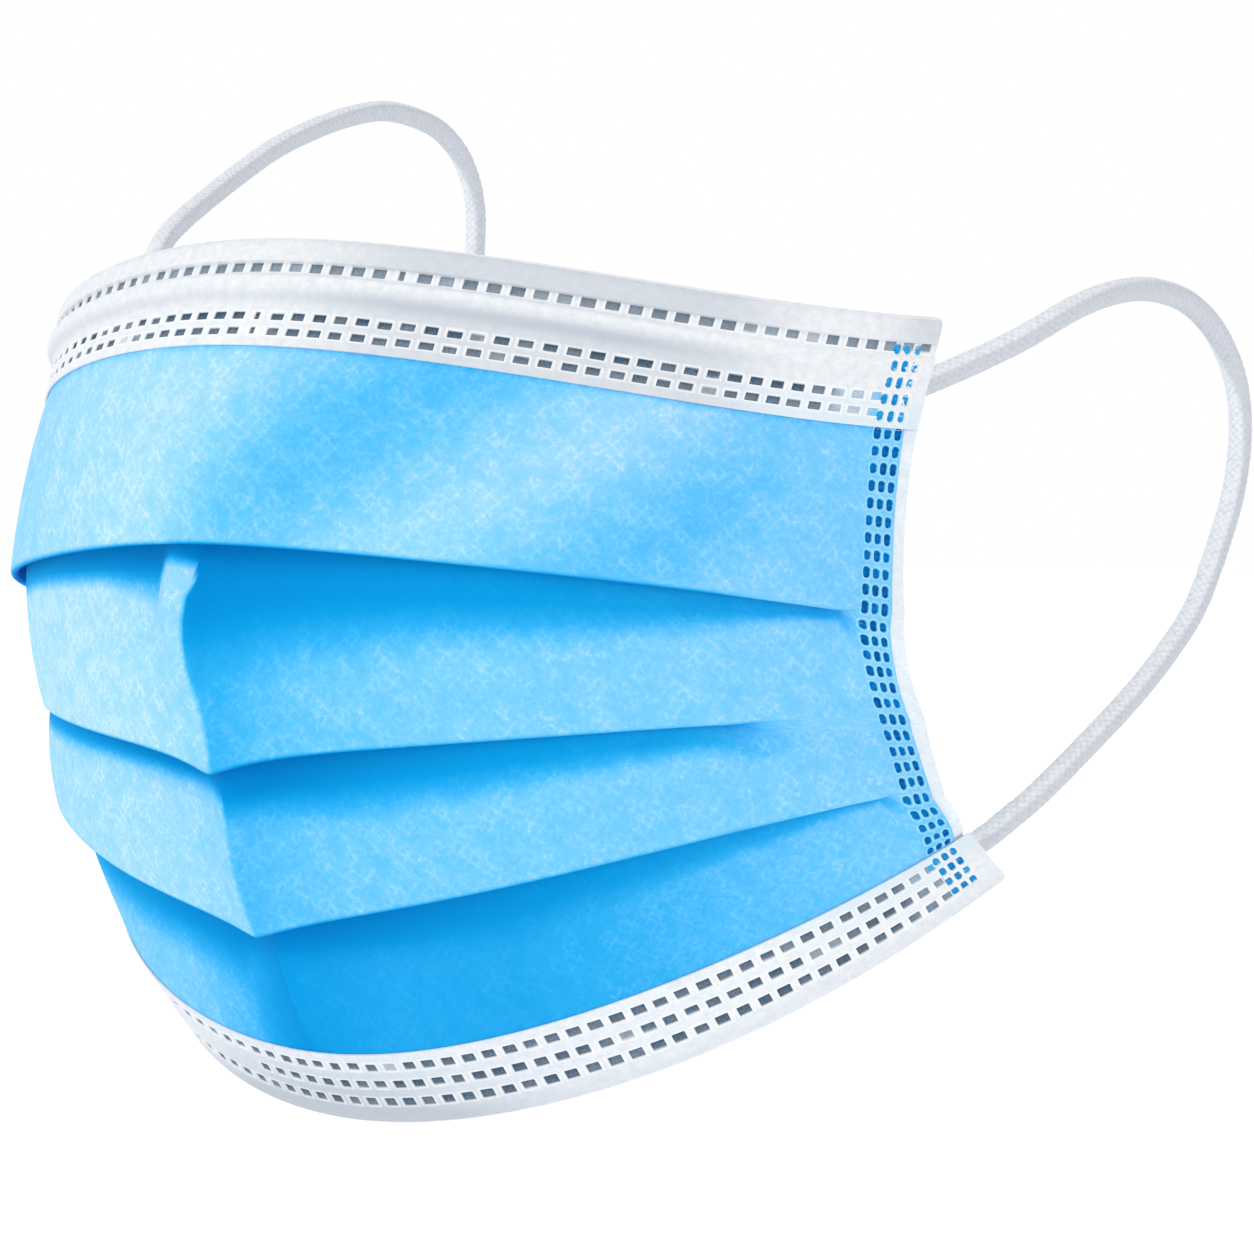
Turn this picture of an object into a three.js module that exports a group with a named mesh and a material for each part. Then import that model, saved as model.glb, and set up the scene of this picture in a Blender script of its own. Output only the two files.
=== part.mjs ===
// A pleated three-ply surgical face mask, held in the shape it has when it is worn.
// Units are millimetres. The wearer's left is +X, the wearer's face is toward +Y, and +Z is up.
// The origin is the middle of the top edge, which sits on the bridge of the nose.
import * as THREE from 'three';

// ---------------------------------------------------------------- driving dimensions

const HALF_WIDTH = 87.5; // middle to side edge, measured along the cloth
const SIDE_MARGIN = 1.6; // how far the lining shows past the outer ply at each side
const BOTTOM_OVERHANG = 1.0; // how far the bottom binding runs past the side edge
const PLY = 1.0; // thickness of every cloth wall
const GAP = 0.3; // clearance between neighbouring layers
const LAYER = PLY + GAP;

const TOP_BAND = 14.2; // height of the top binding's front
const BOTTOM_BAND = 11.5; // height of the bottom binding's front
const OUTER_TOP = 9.2; // where the outer ply starts under the top binding, from the top edge
const OUTER_BOTTOM = 7.5; // where the outer ply ends under the bottom binding, from the bottom edge

const WIRE_HALF_LENGTH = 50;
const WIRE = { top: 5.15, bottom: 8.35, front: -0.55, back: 0.75 };

const CORD_DIAMETER = 3.0;
const CORD_SIDES = 8;
const CORD_STEPS = 40;

const COLUMNS = 40; // cells across the mask
const THREAD_STEPS = 70; // steps used to lay one line of cloth from the middle to its end
const CREASE_WIDTH = 9; // how fast the middle crease dies away sideways

// ---------------------------------------------------------------- the lines of the cloth
// Each line crosses the mask at one height. Its row gives the place where it crosses the middle (y, z),
// the angle it has turned toward the face halfway and at its end, and the angle it rises at the
// middle, halfway and at its end, all in degrees.

const LINES = {
  top: { y: 0, z: 0, turnHalf: 36, turnEnd: 74, riseMid: 0, riseHalf: -9, riseEnd: 0 },
  bandTop: { y: -7, z: -12.5, turnHalf: 40, turnEnd: 67, riseMid: 0, riseHalf: -9, riseEnd: -2 },
  lip1: { y: -8.5, z: -34.5, turnHalf: 35, turnEnd: 74, riseMid: -3.5, riseHalf: -6, riseEnd: -8.5 },
  lip2: { y: -3.5, z: -58, turnHalf: 36, turnEnd: 77, riseMid: -2, riseHalf: 4, riseEnd: -5 },
  lip3: { y: 4, z: -77.5, turnHalf: 30, turnEnd: 82, riseMid: 0, riseHalf: 14, riseEnd: 3 },
  bandBottom: { y: 13, z: -95.5, turnHalf: 32, turnEnd: 79, riseMid: 0, riseHalf: 21, riseEnd: 21 },
  bottom: { y: 20, z: -104.5, turnHalf: 33, turnEnd: 64, riseMid: 0, riseHalf: 22, riseEnd: 31 },
};

// At the middle crease a pleat's lip juts forward by bow and drops by dip.
const CREASE = {
  lip1: { bow: 1.5, dip: 0 },
  lip2: { bow: 2, dip: 3.5 },
  lip3: { bow: 1.5, dip: 3 },
};

// Each pleat turns back under its lip: in toward the face by recess and up by tuck. It is deepest in
// the middle, and eases over a distance of spread to a shallow sloping step at the sides.
const PLEATS = {
  lip1: { recessMid: 4.2, recessSide: 1.0, tuckMid: 2.2, tuckSide: -0.4, spread: 24 },
  lip2: { recessMid: 3.4, recessSide: 0.5, tuckMid: 1.8, tuckSide: -0.8, spread: 24 },
  lip3: { recessMid: 4.4, recessSide: 1.0, tuckMid: 2.0, tuckSide: -0.4, spread: 45 },
};

// Each panel of cloth hangs from the fold above it to the lip below it, and swells between them.
const PANELS = [
  { below: 'lip1', rows: 5, swell: 1.0, wave: 1.0 },
  { below: 'lip2', rows: 4, swell: 1.2, wave: 0 },
  { below: 'lip3', rows: 4, swell: 1.2, wave: 0 },
  { below: 'bandBottom', rows: 4, swell: 0.8, wave: 0 },
];

// The slack folds that run aslant over the top panel.
const WAVE = { height: 0.9, length: 52, slant: 1.1, crest: 6 };

// Cross-sections of the bindings, as distance from the free edge and depth behind the outer ply's face.
const TOP_SECTION = [
  { from: 14.2, depth: -1.3 },
  { from: 9.3, depth: -1.3 },
  { from: 8.5, depth: -1.9 },
  { from: 5.0, depth: -1.9 },
  { from: 4.2, depth: -1.3 },
  { from: 3.6, depth: -1.3 },
  { from: 3.4, depth: -1.8 },
  { from: 0.7, depth: -1.8 },
  { from: 0, depth: -1.1 },
  { from: 0, depth: 2.9 },
  { from: 0.7, depth: 3.6 },
  { from: 11, depth: 3.6 },
  { from: 11, depth: 2.6 },
  { from: 1, depth: 2.6 },
  { from: 1, depth: -0.3 },
  { from: 4.4, depth: -0.3 },
  { from: 5.0, depth: -0.9 },
  { from: 8.5, depth: -0.9 },
  { from: 9.1, depth: -0.3 },
  { from: 14.2, depth: -0.3 },
];
const BOTTOM_SECTION = [
  { from: 11.5, depth: -1.3 },
  { from: 0.7, depth: -1.3 },
  { from: 0, depth: -0.6 },
  { from: 0, depth: 2.9 },
  { from: 0.7, depth: 3.6 },
  { from: 8.5, depth: 3.6 },
  { from: 8.5, depth: 2.6 },
  { from: 1, depth: 2.6 },
  { from: 1, depth: -0.3 },
  { from: 11.5, depth: -0.3 },
];

// The ear loops' centrelines. Both ends lie on the lining, just inside a corner.
const LOOP_LEFT_ROUTE = [
  [55.3, 39.8, -17.7],
  [56.6, 42.6, -18.2],
  [57.8, 45.5, -18.7],
  [59, 51.2, -17],
  [60.6, 55.2, -15.5],
  [62.5, 60.2, -13.5],
  [64.8, 66.4, -10.8],
  [66.4, 76, -6.8],
  [66.5, 86, -4.5],
  [66.5, 95, -3.9],
  [66.5, 104, -5.2],
  [66.5, 111.3, -8.8],
  [66.5, 116.4, -14.6],
  [66.5, 117.7, -21.3],
  [66.5, 116, -28.7],
  [66.5, 111.5, -36.3],
  [66.9, 105, -43.6],
  [66.7, 98.2, -49],
  [66.4, 89.8, -54.3],
  [65.1, 80.2, -60.3],
  [63.1, 72.6, -65.6],
  [61.5, 69, -68.2],
  [60, 65.5, -70.5],
  [58.3, 61, -72],
  [57.5, 58.2, -73.2],
  [56.3, 55.4, -74.5],
];
const LOOP_RIGHT_ROUTE = [
  [-56.2, 41.5, -20],
  [-56.1, 42.2, -14.5],
  [-56.3, 43, -9],
  [-56.9, 43.8, -3.5],
  [-58, 45.6, 1.2],
  [-59.2, 48.9, 4.8],
  [-60.5, 53, 7.4],
  [-62.2, 58.9, 10.4],
  [-63.5, 67.5, 15],
  [-64, 76.1, 19.6],
  [-64, 84.2, 23],
  [-64, 92.6, 25.7],
  [-64, 100.3, 27.1],
  [-64, 107.7, 26.6],
  [-64, 113.5, 24.9],
  [-64, 118.3, 21.1],
  [-64, 121, 15.1],
  [-64, 121, 7.3],
  [-64, 119.5, -3],
  [-64.2, 115.5, -16],
  [-64.5, 109, -29],
  [-64.6, 101, -40.5],
  [-64.4, 91, -50],
  [-64.2, 81, -58.6],
  [-63.1, 72.6, -65.6],
  [-61.5, 69, -68.2],
  [-60, 65.5, -70.5],
  [-58.3, 61, -72],
  [-57.5, 58.2, -73.2],
  [-56.3, 55.4, -74.5],
];

// ---------------------------------------------------------------- laying the cloth

const radians = THREE.MathUtils.degToRad;

// The curve through three values at the start, halfway and the end.
function throughThree(start, half, end, t) {
  return start * (1 - t) * (1 - 2 * t) + half * 4 * t * (1 - t) + end * t * (2 * t - 1);
}

// Lays one line of cloth and returns its point at any distance s from the middle, left or right.
function layLine(row, { bow, dip }) {
  const step = HALF_WIDTH / THREAD_STEPS;
  const points = [new THREE.Vector3()];
  for (let i = 0; i < THREAD_STEPS + 4; i += 1) {
    const t = Math.min((i + 0.5) / THREAD_STEPS, 1);
    const turn = radians(throughThree(0, row.turnHalf, row.turnEnd, t));
    const rise = radians(throughThree(row.riseMid, row.riseHalf, row.riseEnd, t));
    const heading = new THREE.Vector3(
      Math.cos(rise) * Math.cos(turn),
      Math.cos(rise) * Math.sin(turn),
      Math.sin(rise),
    );
    points.push(points[i].clone().addScaledVector(heading, step));
  }
  return (s) => {
    const place = Math.abs(s) / step;
    const i = Math.min(Math.floor(place), THREAD_STEPS + 3);
    const point = points[i].clone().lerp(points[i + 1], place - i);
    const crease = Math.exp(-Math.abs(s) / CREASE_WIDTH);
    point.x *= Math.sign(s);
    point.y += row.y - bow * crease;
    point.z += row.z - dip * crease;
    return point;
  };
}

const line = {};
for (const [name, row] of Object.entries(LINES)) {
  line[name] = layLine(row, CREASE[name] ?? { bow: 0, dip: 0 });
}

// The direction in which a line runs at s, toward the wearer's left.
function runOf(pointAt, s) {
  const reach = 0.5;
  return pointAt(s + reach).sub(pointAt(s - reach)).normalize();
}

// The direction through the cloth toward the face, where it runs along run and goes down along down.
function inwardOf(run, down) {
  return run.clone().cross(down).normalize();
}

// A band's frame at s: its free edge and inner edge on the outer ply's face, one layer behind the
// binding's own front, and the directions down the cloth and in toward the face.
function bandFrame(edgeName, innerName, s) {
  const edge = line[edgeName](s);
  const inner = line[innerName](s);
  const down = inner.clone().sub(edge).normalize();
  if (down.z > 0) down.negate();
  const inward = inwardOf(runOf(line[edgeName], s), down);
  const height = edge.distanceTo(inner);
  edge.addScaledVector(inward, LAYER);
  inner.addScaledVector(inward, LAYER);
  return { edge, inner, down, inward, height };
}

const topFrame = (s) => bandFrame('top', 'bandTop', s);
const bottomFrame = (s) => bandFrame('bottom', 'bandBottom', s);

// How much of a middle value is left at s, from 1 in the middle to 0 at the side edges.
function fade(s) {
  const t = Math.min(Math.abs(s) / HALF_WIDTH, 1);
  return 1 - t * t;
}

// Adds the rows of one panel, from the fold at start down to the lip or band at end.
function addPanel(rows, panel, start, end, run, s) {
  const down = end.clone().sub(start);
  const inward = inwardOf(run, down);
  for (let i = 1; i <= panel.rows; i += 1) {
    const f = i / panel.rows;
    const slack = 4 * f * (1 - f) * fade(s);
    const phase = (s + WAVE.slant * down.length() * (f - 0.5) - WAVE.crest) / WAVE.length;
    const wave = panel.wave * WAVE.height * Math.cos(2 * Math.PI * phase);
    const lift = slack * (panel.swell + wave);
    rows.push(start.clone().addScaledVector(down, f).addScaledVector(inward, -lift));
  }
}

// The outer ply's face at s, from the top edge to the bottom edge, as one row of points.
// The first and last rows belong to the lining only, and the next ones in are the outer ply's ends.
function clothRows(s) {
  const top = topFrame(s);
  const bottom = bottomFrame(s);
  const rows = [
    top.edge.clone().lerp(top.inner, LAYER / TOP_BAND),
    top.edge.clone().lerp(top.inner, OUTER_TOP / TOP_BAND),
    top.inner,
  ];
  let start = top.inner;
  for (const panel of PANELS) {
    const pleat = PLEATS[panel.below];
    const end = pleat ? line[panel.below](s) : bottom.inner;
    const run = runOf(line[panel.below], s);
    addPanel(rows, panel, start, end, run, s);
    if (pleat) {
      const down = end.clone().sub(start).normalize();
      const open = Math.exp(-((s / pleat.spread) ** 2));
      const recess = pleat.recessSide + (pleat.recessMid - pleat.recessSide) * open;
      const tuck = pleat.tuckSide + (pleat.tuckMid - pleat.tuckSide) * open;
      start = end.clone().addScaledVector(inwardOf(run, down), recess).addScaledVector(down, -tuck);
      rows.push(start);
    }
  }
  rows.push(bottom.edge.clone().lerp(bottom.inner, OUTER_BOTTOM / BOTTOM_BAND));
  rows.push(bottom.edge.clone().lerp(bottom.inner, LAYER / BOTTOM_BAND));
  return rows;
}

// ---------------------------------------------------------------- closed bodies

// Evenly spaced places from one side edge to the other.
function columnsAcross(halfWidth, count = COLUMNS) {
  return Array.from({ length: count + 1 }, (_, i) => halfWidth * ((2 * i) / count - 1));
}

// Joins rings of points into one closed body. cap lists the triangles that close a ring.
function sweepRings(rings, cap) {
  const size = rings[0].length;
  const last = (rings.length - 1) * size;
  const faces = [];
  for (let i = 0; i + 1 < rings.length; i += 1) {
    for (let k = 0; k < size; k += 1) {
      const next = (k + 1) % size;
      const [a, b] = [i * size + k, (i + 1) * size + k];
      const [c, d] = [(i + 1) * size + next, i * size + next];
      faces.push(a, d, b, b, d, c);
    }
  }
  for (const [a, b, c] of cap) {
    faces.push(a, c, b);
    faces.push(last + a, last + b, last + c);
  }
  const geometry = new THREE.BufferGeometry();
  geometry.setFromPoints(rings.flat());
  geometry.setIndex(faces);
  geometry.computeVertexNormals();
  return geometry;
}

// Moves a grid of cloth points through the cloth by depth, keeping each panel's wall even at the folds.
function moveThrough(grid, depth) {
  return grid.map((rows, i) =>
    rows.map((point, j) => {
      const before = grid[Math.max(i - 1, 0)][j];
      const after = grid[Math.min(i + 1, grid.length - 1)][j];
      const run = after.clone().sub(before);
      const above = inwardOf(run, rows[Math.max(j, 1)].clone().sub(rows[Math.max(j, 1) - 1]));
      const under = Math.min(j, rows.length - 2);
      const below = inwardOf(run, rows[under + 1].clone().sub(rows[under]));
      const reach = depth / (1 + above.dot(below));
      return point.clone().addScaledVector(above.add(below), reach);
    }),
  );
}

// A ply of cloth between two depths behind the outer ply's face.
function plyBody(halfWidth, skip, front, back) {
  const grid = columnsAcross(halfWidth).map((s) => {
    const rows = clothRows(s);
    return rows.slice(skip, rows.length - skip);
  });
  const near = moveThrough(grid, front);
  const far = moveThrough(grid, back);
  const rings = near.map((rows, i) => [...rows, ...far[i].reverse()]);
  const size = rings[0].length;
  const cap = [];
  for (let j = 0; j + 1 < grid[0].length; j += 1) {
    cap.push([j, j + 1, size - 1 - j], [j + 1, size - 2 - j, size - 1 - j]);
  }
  return sweepRings(rings, cap);
}

// A body of constant section laid along a band. The section is given from the band's free edge.
function bandBody(frameAt, section, halfWidth, bandHeight, columns = COLUMNS) {
  const downward = frameAt === topFrame ? 1 : -1;
  const outline = section.map(({ from, depth }) => new THREE.Vector2(downward * from, depth));
  if (THREE.ShapeUtils.area(outline) < 0) outline.reverse();
  const rings = columnsAcross(halfWidth, columns).map((s) => {
    const { edge, down, inward, height } = frameAt(s);
    const stretch = height / bandHeight;
    return outline.map(({ x, y }) =>
      edge.clone().addScaledVector(down, x * stretch).addScaledVector(inward, y),
    );
  });
  const turnsLeft = (a, b, c) => THREE.ShapeUtils.area([outline[a], outline[b], outline[c]]) > 0;
  const cap = THREE.ShapeUtils.triangulateShape(outline, []).map(([a, b, c]) =>
    turnsLeft(a, b, c) ? [a, b, c] : [a, c, b],
  );
  return sweepRings(rings, cap);
}

function cordBody(route) {
  const path = new THREE.CatmullRomCurve3(route.map(([x, y, z]) => new THREE.Vector3(x, y, z)));
  const corners = Array.from({ length: CORD_SIDES }, (_, i) => {
    const angle = (2 * Math.PI * i) / CORD_SIDES;
    return new THREE.Vector2(Math.cos(angle), Math.sin(angle)).multiplyScalar(CORD_DIAMETER / 2);
  });
  return new THREE.ExtrudeGeometry(new THREE.Shape(corners), { steps: CORD_STEPS, extrudePath: path });
}

// ---------------------------------------------------------------- the mask

const WIRE_SECTION = [
  { from: WIRE.top, depth: WIRE.front },
  { from: WIRE.bottom, depth: WIRE.front },
  { from: WIRE.bottom, depth: WIRE.back },
  { from: WIRE.top, depth: WIRE.back },
];

const LOOKS = {
  outer_ply: { color: 0x62c2fb, roughness: 0.9 },
  inner_ply: { color: 0xedf1f5, roughness: 0.92 },
  top_binding: { color: 0xe9ecf1, roughness: 0.9 },
  bottom_binding: { color: 0xe4e7ee, roughness: 0.9 },
  nose_wire: { color: 0xf2f2f0, roughness: 0.5 },
  ear_loop_left: { color: 0xe3e5ec, roughness: 0.95 },
  ear_loop_right: { color: 0xe3e5ec, roughness: 0.95 },
};

const BODIES = {
  outer_ply: plyBody(HALF_WIDTH - SIDE_MARGIN, 1, 0, PLY),
  inner_ply: plyBody(HALF_WIDTH, 0, LAYER, LAYER + PLY),
  top_binding: bandBody(topFrame, TOP_SECTION, HALF_WIDTH, TOP_BAND),
  bottom_binding: bandBody(bottomFrame, BOTTOM_SECTION, HALF_WIDTH + BOTTOM_OVERHANG, BOTTOM_BAND),
  nose_wire: bandBody(topFrame, WIRE_SECTION, WIRE_HALF_LENGTH, TOP_BAND, 2 * Math.round(COLUMNS / 3)),
  ear_loop_left: cordBody(LOOP_LEFT_ROUTE),
  ear_loop_right: cordBody(LOOP_RIGHT_ROUTE),
};

const mask = new THREE.Group();
mask.name = 'surgical_face_mask';
for (const [name, geometry] of Object.entries(BODIES)) {
  const { color, roughness } = LOOKS[name];
  const material = new THREE.MeshStandardMaterial({ color, roughness, metalness: 0 });
  material.name = name;
  const mesh = new THREE.Mesh(geometry, material);
  mesh.name = name;
  mask.add(mesh);
}

export default mask;
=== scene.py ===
"""A pleated three-ply surgical face mask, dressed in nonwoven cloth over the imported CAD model."""
import math
from functools import partialmethod

import bpy
import numpy as np
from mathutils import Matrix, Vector


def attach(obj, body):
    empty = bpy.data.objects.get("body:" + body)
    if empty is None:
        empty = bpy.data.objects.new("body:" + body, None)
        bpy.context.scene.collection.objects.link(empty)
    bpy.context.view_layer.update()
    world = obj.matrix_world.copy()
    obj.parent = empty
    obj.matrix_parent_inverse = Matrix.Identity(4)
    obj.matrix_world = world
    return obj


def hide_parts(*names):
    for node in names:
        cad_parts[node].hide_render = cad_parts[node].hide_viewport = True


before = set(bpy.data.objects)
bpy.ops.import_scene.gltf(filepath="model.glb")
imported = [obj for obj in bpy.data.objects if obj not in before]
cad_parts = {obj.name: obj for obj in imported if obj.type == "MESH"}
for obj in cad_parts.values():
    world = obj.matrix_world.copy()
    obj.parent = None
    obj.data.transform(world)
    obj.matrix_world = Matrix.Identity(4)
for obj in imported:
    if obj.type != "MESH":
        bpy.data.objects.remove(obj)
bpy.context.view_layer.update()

# ------------ driving dimensions, in millimetres

MM = 0.001
HALF_WIDTH = 87.5  # middle to side edge, along the cloth
SIDE_MARGIN = 1.6  # how far the lining shows past the outer ply
LINING_OVERHANG = 0.3  # how far the lining runs past the ends of the top binding
OVERHANG = dict(top=0.0, bottom=1.0)  # how far the bindings run past the side edge
BAND = dict(top=14.2, bottom=11.5)  # height of the bindings' fronts
LEG = dict(top=11.0, bottom=8.5)  # how far the bindings reach inside
OUTER_SKIP = dict(top=9.2, bottom=7.5)  # how far the outer ply stays from the top and bottom edges
LINING_SKIP = dict(top=1.0, bottom=1.0)  # and how far the lining does

PLY = 0.22  # thickness of one layer of cloth
LAYER = 0.28  # one layer and the air behind it
HEM = 3.5  # height of the hem on the top binding
HEM_RISE = 0.4
HEM_LINES = (-0.12, -0.04, 0.04)  # lines of the binding beside its edge
HEM_END = dict(thinner=0.75, places=(78.5, 86.5))  # how it thins out toward both ends of the binding
UNDER_HEM = (-0.02, 0.05)  # where the welds come out from under its edge
# The ridge over the nose wire: where its slopes lie, from the top edge, how high it is, and what is left of
# it past the ends of the wire, over which it fades.
RIDGE = dict(start=4.75, full=5.7, fall=6.9, end=8.7, rise=1.0, left=0.25, fade=(-3, 14))
WIRE_HALF_LENGTH = 50.0
WIRE = dict(half_width=1.2, half_thickness=0.22, seat=0.1, end=0.35, spacing=1.0, sides=20)

# A binding's weld. Its length follows the scale of its pitch by follow.
WELD = dict(pitch=2.68, length=1.6, round=0.05, wall=0.06, depth=0.28, follow=0.8)
UNEVEN = dict(place=0.045, length=0.04, row=0.03, film=0.18)  # how far the welds differ, at random
PRESSED = dict(most=1.15, least=0.45, spread=0.12)  # how fully they are pressed, which is never over 1
WELD_STRETCH = dict(most=0.28, places=(-32, -6))  # the welds' pitch grows toward the mask's right end
WELD_SHRINK = dict(most=0.07, places=(45, 74))  # and shrinks toward its left end
SIDE_START = dict(top=HEM + 0.25, bottom=3.3)  # how far from the free edge the side welds start
SIDE_WELD = dict(pitch=2.1, length=1.45, width=0.92, round=0.4, wall=0.1, depth=0.23)
WALL_OUT = 0.04  # how far outside its edge the wall of a weld starts
RIM = dict(out=0.1, width=0.12, height=0.06)  # where the cloth is squeezed up round a weld
SIDE_COLUMNS = (82.05, 83.45, 84.85)  # places of the side welds, from the middle
SIDE_STEP = 1.4  # from one column of side welds to the next
# The columns lean: how far out they stand at these places in their run, counted in pitches. The cloth
# follows them from the first place in zone on, and fully from the second.
SIDE_LEAN = dict(run=(0.5, 7.5, 11, 16.5, 21.5, 25.5), out=(0.15, 0, -0.3, -0.95, -0.65, 0), zone=(72, 80))
FIRST_WELD = 0.17  # where the run of side welds stands at the top binding's lower edge, in pitches
# The bindings' rows of welds: how far from the free edge, how high a weld is, how pale its film is, how far
# from the middle the row ends and where its seam is, with one short weld. The middle row of the bottom
# binding starts near the chin.
ROWS = dict(
    top=(
        dict(place=4.05, height=1.2, pale=0.5, reach=86.2, seam=23.4, short=0.4),
        dict(place=10.4, height=0.95, pale=0.0, reach=82.4, seam=7.4, short=0.4),
        dict(place=12.4, height=0.92, pale=0.2, reach=82.4, seam=7.4, short=0.4),
    ),
    bottom=(
        dict(place=3.8, height=1.28, pale=0.0, reach=82.4, seam=2.0, short=0.9),
        dict(place=6.65, height=1.22, pale=0.0, reach=82.4, seam=2.0, short=0.9, start=-11.5),
        dict(place=9.5, height=1.2, pale=0.12, reach=82.4, seam=2.0, short=0.9),
    ),
)

CORD_DIAMETER = 3.0
CORD_SIDES = 48
CORD_STEP = 0.2
ROUTE_STEPS = 24  # from one point of a cord's route to the next
# The knit: the length of a stitch, how many go round, how flat its top is, how regular the stitches are and
# how calm the random bumps, and in radiuses of the cord its core and how far the stitches rise over it.
BRAID = dict(length=1.1, strands=8, top=0.7, share=0.5, calm=5, core=0.94, rise=0.09)
# Where the cord is painted lit: the direction toward the light, and the range over which painted light turns
# to painted shade.
CORD_LIGHT = dict(toward=np.array([-0.52, -0.55, 0.65]), range=(-0.14, 0.24))  # the cord's brighter side
SEAT = dict(place=80.0, depth=1.6, flat=(1.5, 12))  # where a cord's end lies and how far it is flattened
FLATTENED = dict(wider=0.3, thinner=0.55, smoother=0.6)  # how much an end changes by that
CREASE_WIDTH = 9.0  # how far to each side a lip bows out at the middle crease
CREASE_ROUND = 0.7  # radius of the crease's top
LINE_STEPS = 140  # steps in which a line of the cloth is laid from the middle to the side edge
SPARE_STEPS = 8  # and past it
SHARP_ANGLE = 48  # edges that turn more than this many degrees stay crisp

# The front and back of each ply: how deep it lies, and how far it sinks in a side weld and rises round it.
OUTER_WALLS = ((0.0, SIDE_WELD["depth"], 0.05), (PLY, 0.06, 0.0))
LINING_WALLS = ((LAYER, 0.04, 0.0), (LAYER + PLY, -0.12, -0.04))

# The bindings' grid: lines past and within the ends of a weld, across and down, and the spacings in mm.
COLUMN_MARKS = (0.06, 0.05)
ROW_MARKS = (0.07, 0.04)
FRONT_SPACING = 0.3
LEG_SPACING = 0.9
CROWN_LINES = 9
SIDE_SPACE = 1.2  # between the last weld's lines and the side welds' middle
SIDE_LEAD = 0.35  # how far before the side welds their own columns start
SIDE_SPACING = 0.16
RIM_REACH = 0.4  # how far past a weld its rim is looked for
TONE_REACH = 0.15  # how far past it its tone reaches
CORNER = 1.3  # radius of a binding's corner
CORNER_REACH = 2.2
LEAN_END = (85.6, 87.2)  # where the lean of the side welds dies out toward the top binding's end
LEAST_PLY = 0.6  # the least share of its thickness that the cloth keeps under a weld
SIDE_MARK = dict(top=0.8, bottom=1.0)  # under 0.9, the cloth breaks up its outer column of side welds
SIDE_PRESS = 0.8  # how deep the side welds are on a binding
GREY = dict(short=0.6, past_hem=1.3)  # the grey welds end before the side welds, except near the hem
# Where the blue shows through a binding's welds, from its end, and how much, and where it shows through the
# cloth itself, from its lower or upper edge.
THROUGH = dict(side=(-13.5, -10.5), below_hem=7, bottom=0.35)
TINT = dict(side=(58, 70), band=(-5, -1.5))

rng = np.random.default_rng(17)

# The lines of the cloth, within half a millimetre of the CAD model's: where each crosses the middle, and how
# many degrees it has turned toward the face and rises, at the middle, halfway and at its end.
LINES = {
    "top": dict(y=0, z=0, turn=(0, 36, 74), rise=(0, -9, 0)),
    "band_top": dict(y=-7, z=-12.5, turn=(0, 40, 67), rise=(0, -9, -2)),
    "lip1": dict(y=-8.5, z=-34.5, turn=(0, 35, 74), rise=(-3.5, -6, -8.5)),
    "lip2": dict(y=-3.5, z=-58, turn=(0, 36, 77), rise=(-2, 4, -5)),
    "lip3": dict(y=4, z=-78, turn=(0, 30, 82), rise=(0, 14, 3)),
    "band_bottom": dict(y=13, z=-95.5, turn=(0, 32, 79), rise=(0, 21, 21)),
    "bottom": dict(y=20, z=-104.5, turn=(0, 33, 64), rise=(0, 22, 31)),
}
CREASE = {"lip1": dict(bow=1.5, dip=0.5), "lip2": dict(bow=2.0, dip=3.5), "lip3": dict(bow=1.5, dip=3.0)}

# Each pleat folds back under its lip: in by recess and up by tuck, deepest beside the middle crease, which
# pushes a ridge out at pop_at. Between the two places in flat it opens out, where the side welds hold it.
PLEATS = {
    "lip1": dict(recess=5.0, side=1.5, tuck=3.0, spread=26, pop=0.9, pop_at=-3.6, flat=(77.5, 82.5)),
    "lip2": dict(recess=4.4, side=1.5, tuck=2.6, spread=26, pop=0.6, pop_at=0, flat=(54, 74)),
    "lip3": dict(recess=5.0, side=1.5, tuck=2.8, spread=42, pop=0.5, pop_at=0, flat=(77.5, 82.5)),
}
POP_WIDTH = 3.4  # half-width of the ridge that the crease pushes out under a lip
FOLD_STEPS = 7
STRAIGHT_STEPS = 7
FOLD_RADIUS = 0.62
TUCK_RADIUS = 0.34
# What is left of a pleat's fold where it has opened out, and over which share of that it is drawn out of the
# tuck and then levelled.
OPENED = dict(tuck=-0.9, recess=0.08, drawn_out=(0, 0.65), levelled=(0.4, 1))
LEAST_BEND = 0.03  # the least turn of the cloth where it leaves a tuck, in radians
# The painted shade in a fold: over which share of it the shade deepens, and how much of it is gone at the
# side.
FOLD_SHADE = dict(inward=(0.0, 0.22), gone=0.9, side=(60, 74))
CREASE_SHIFT = (0.2, 1)  # the share of a fold over which its columns move on to the next panel's crease
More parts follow.
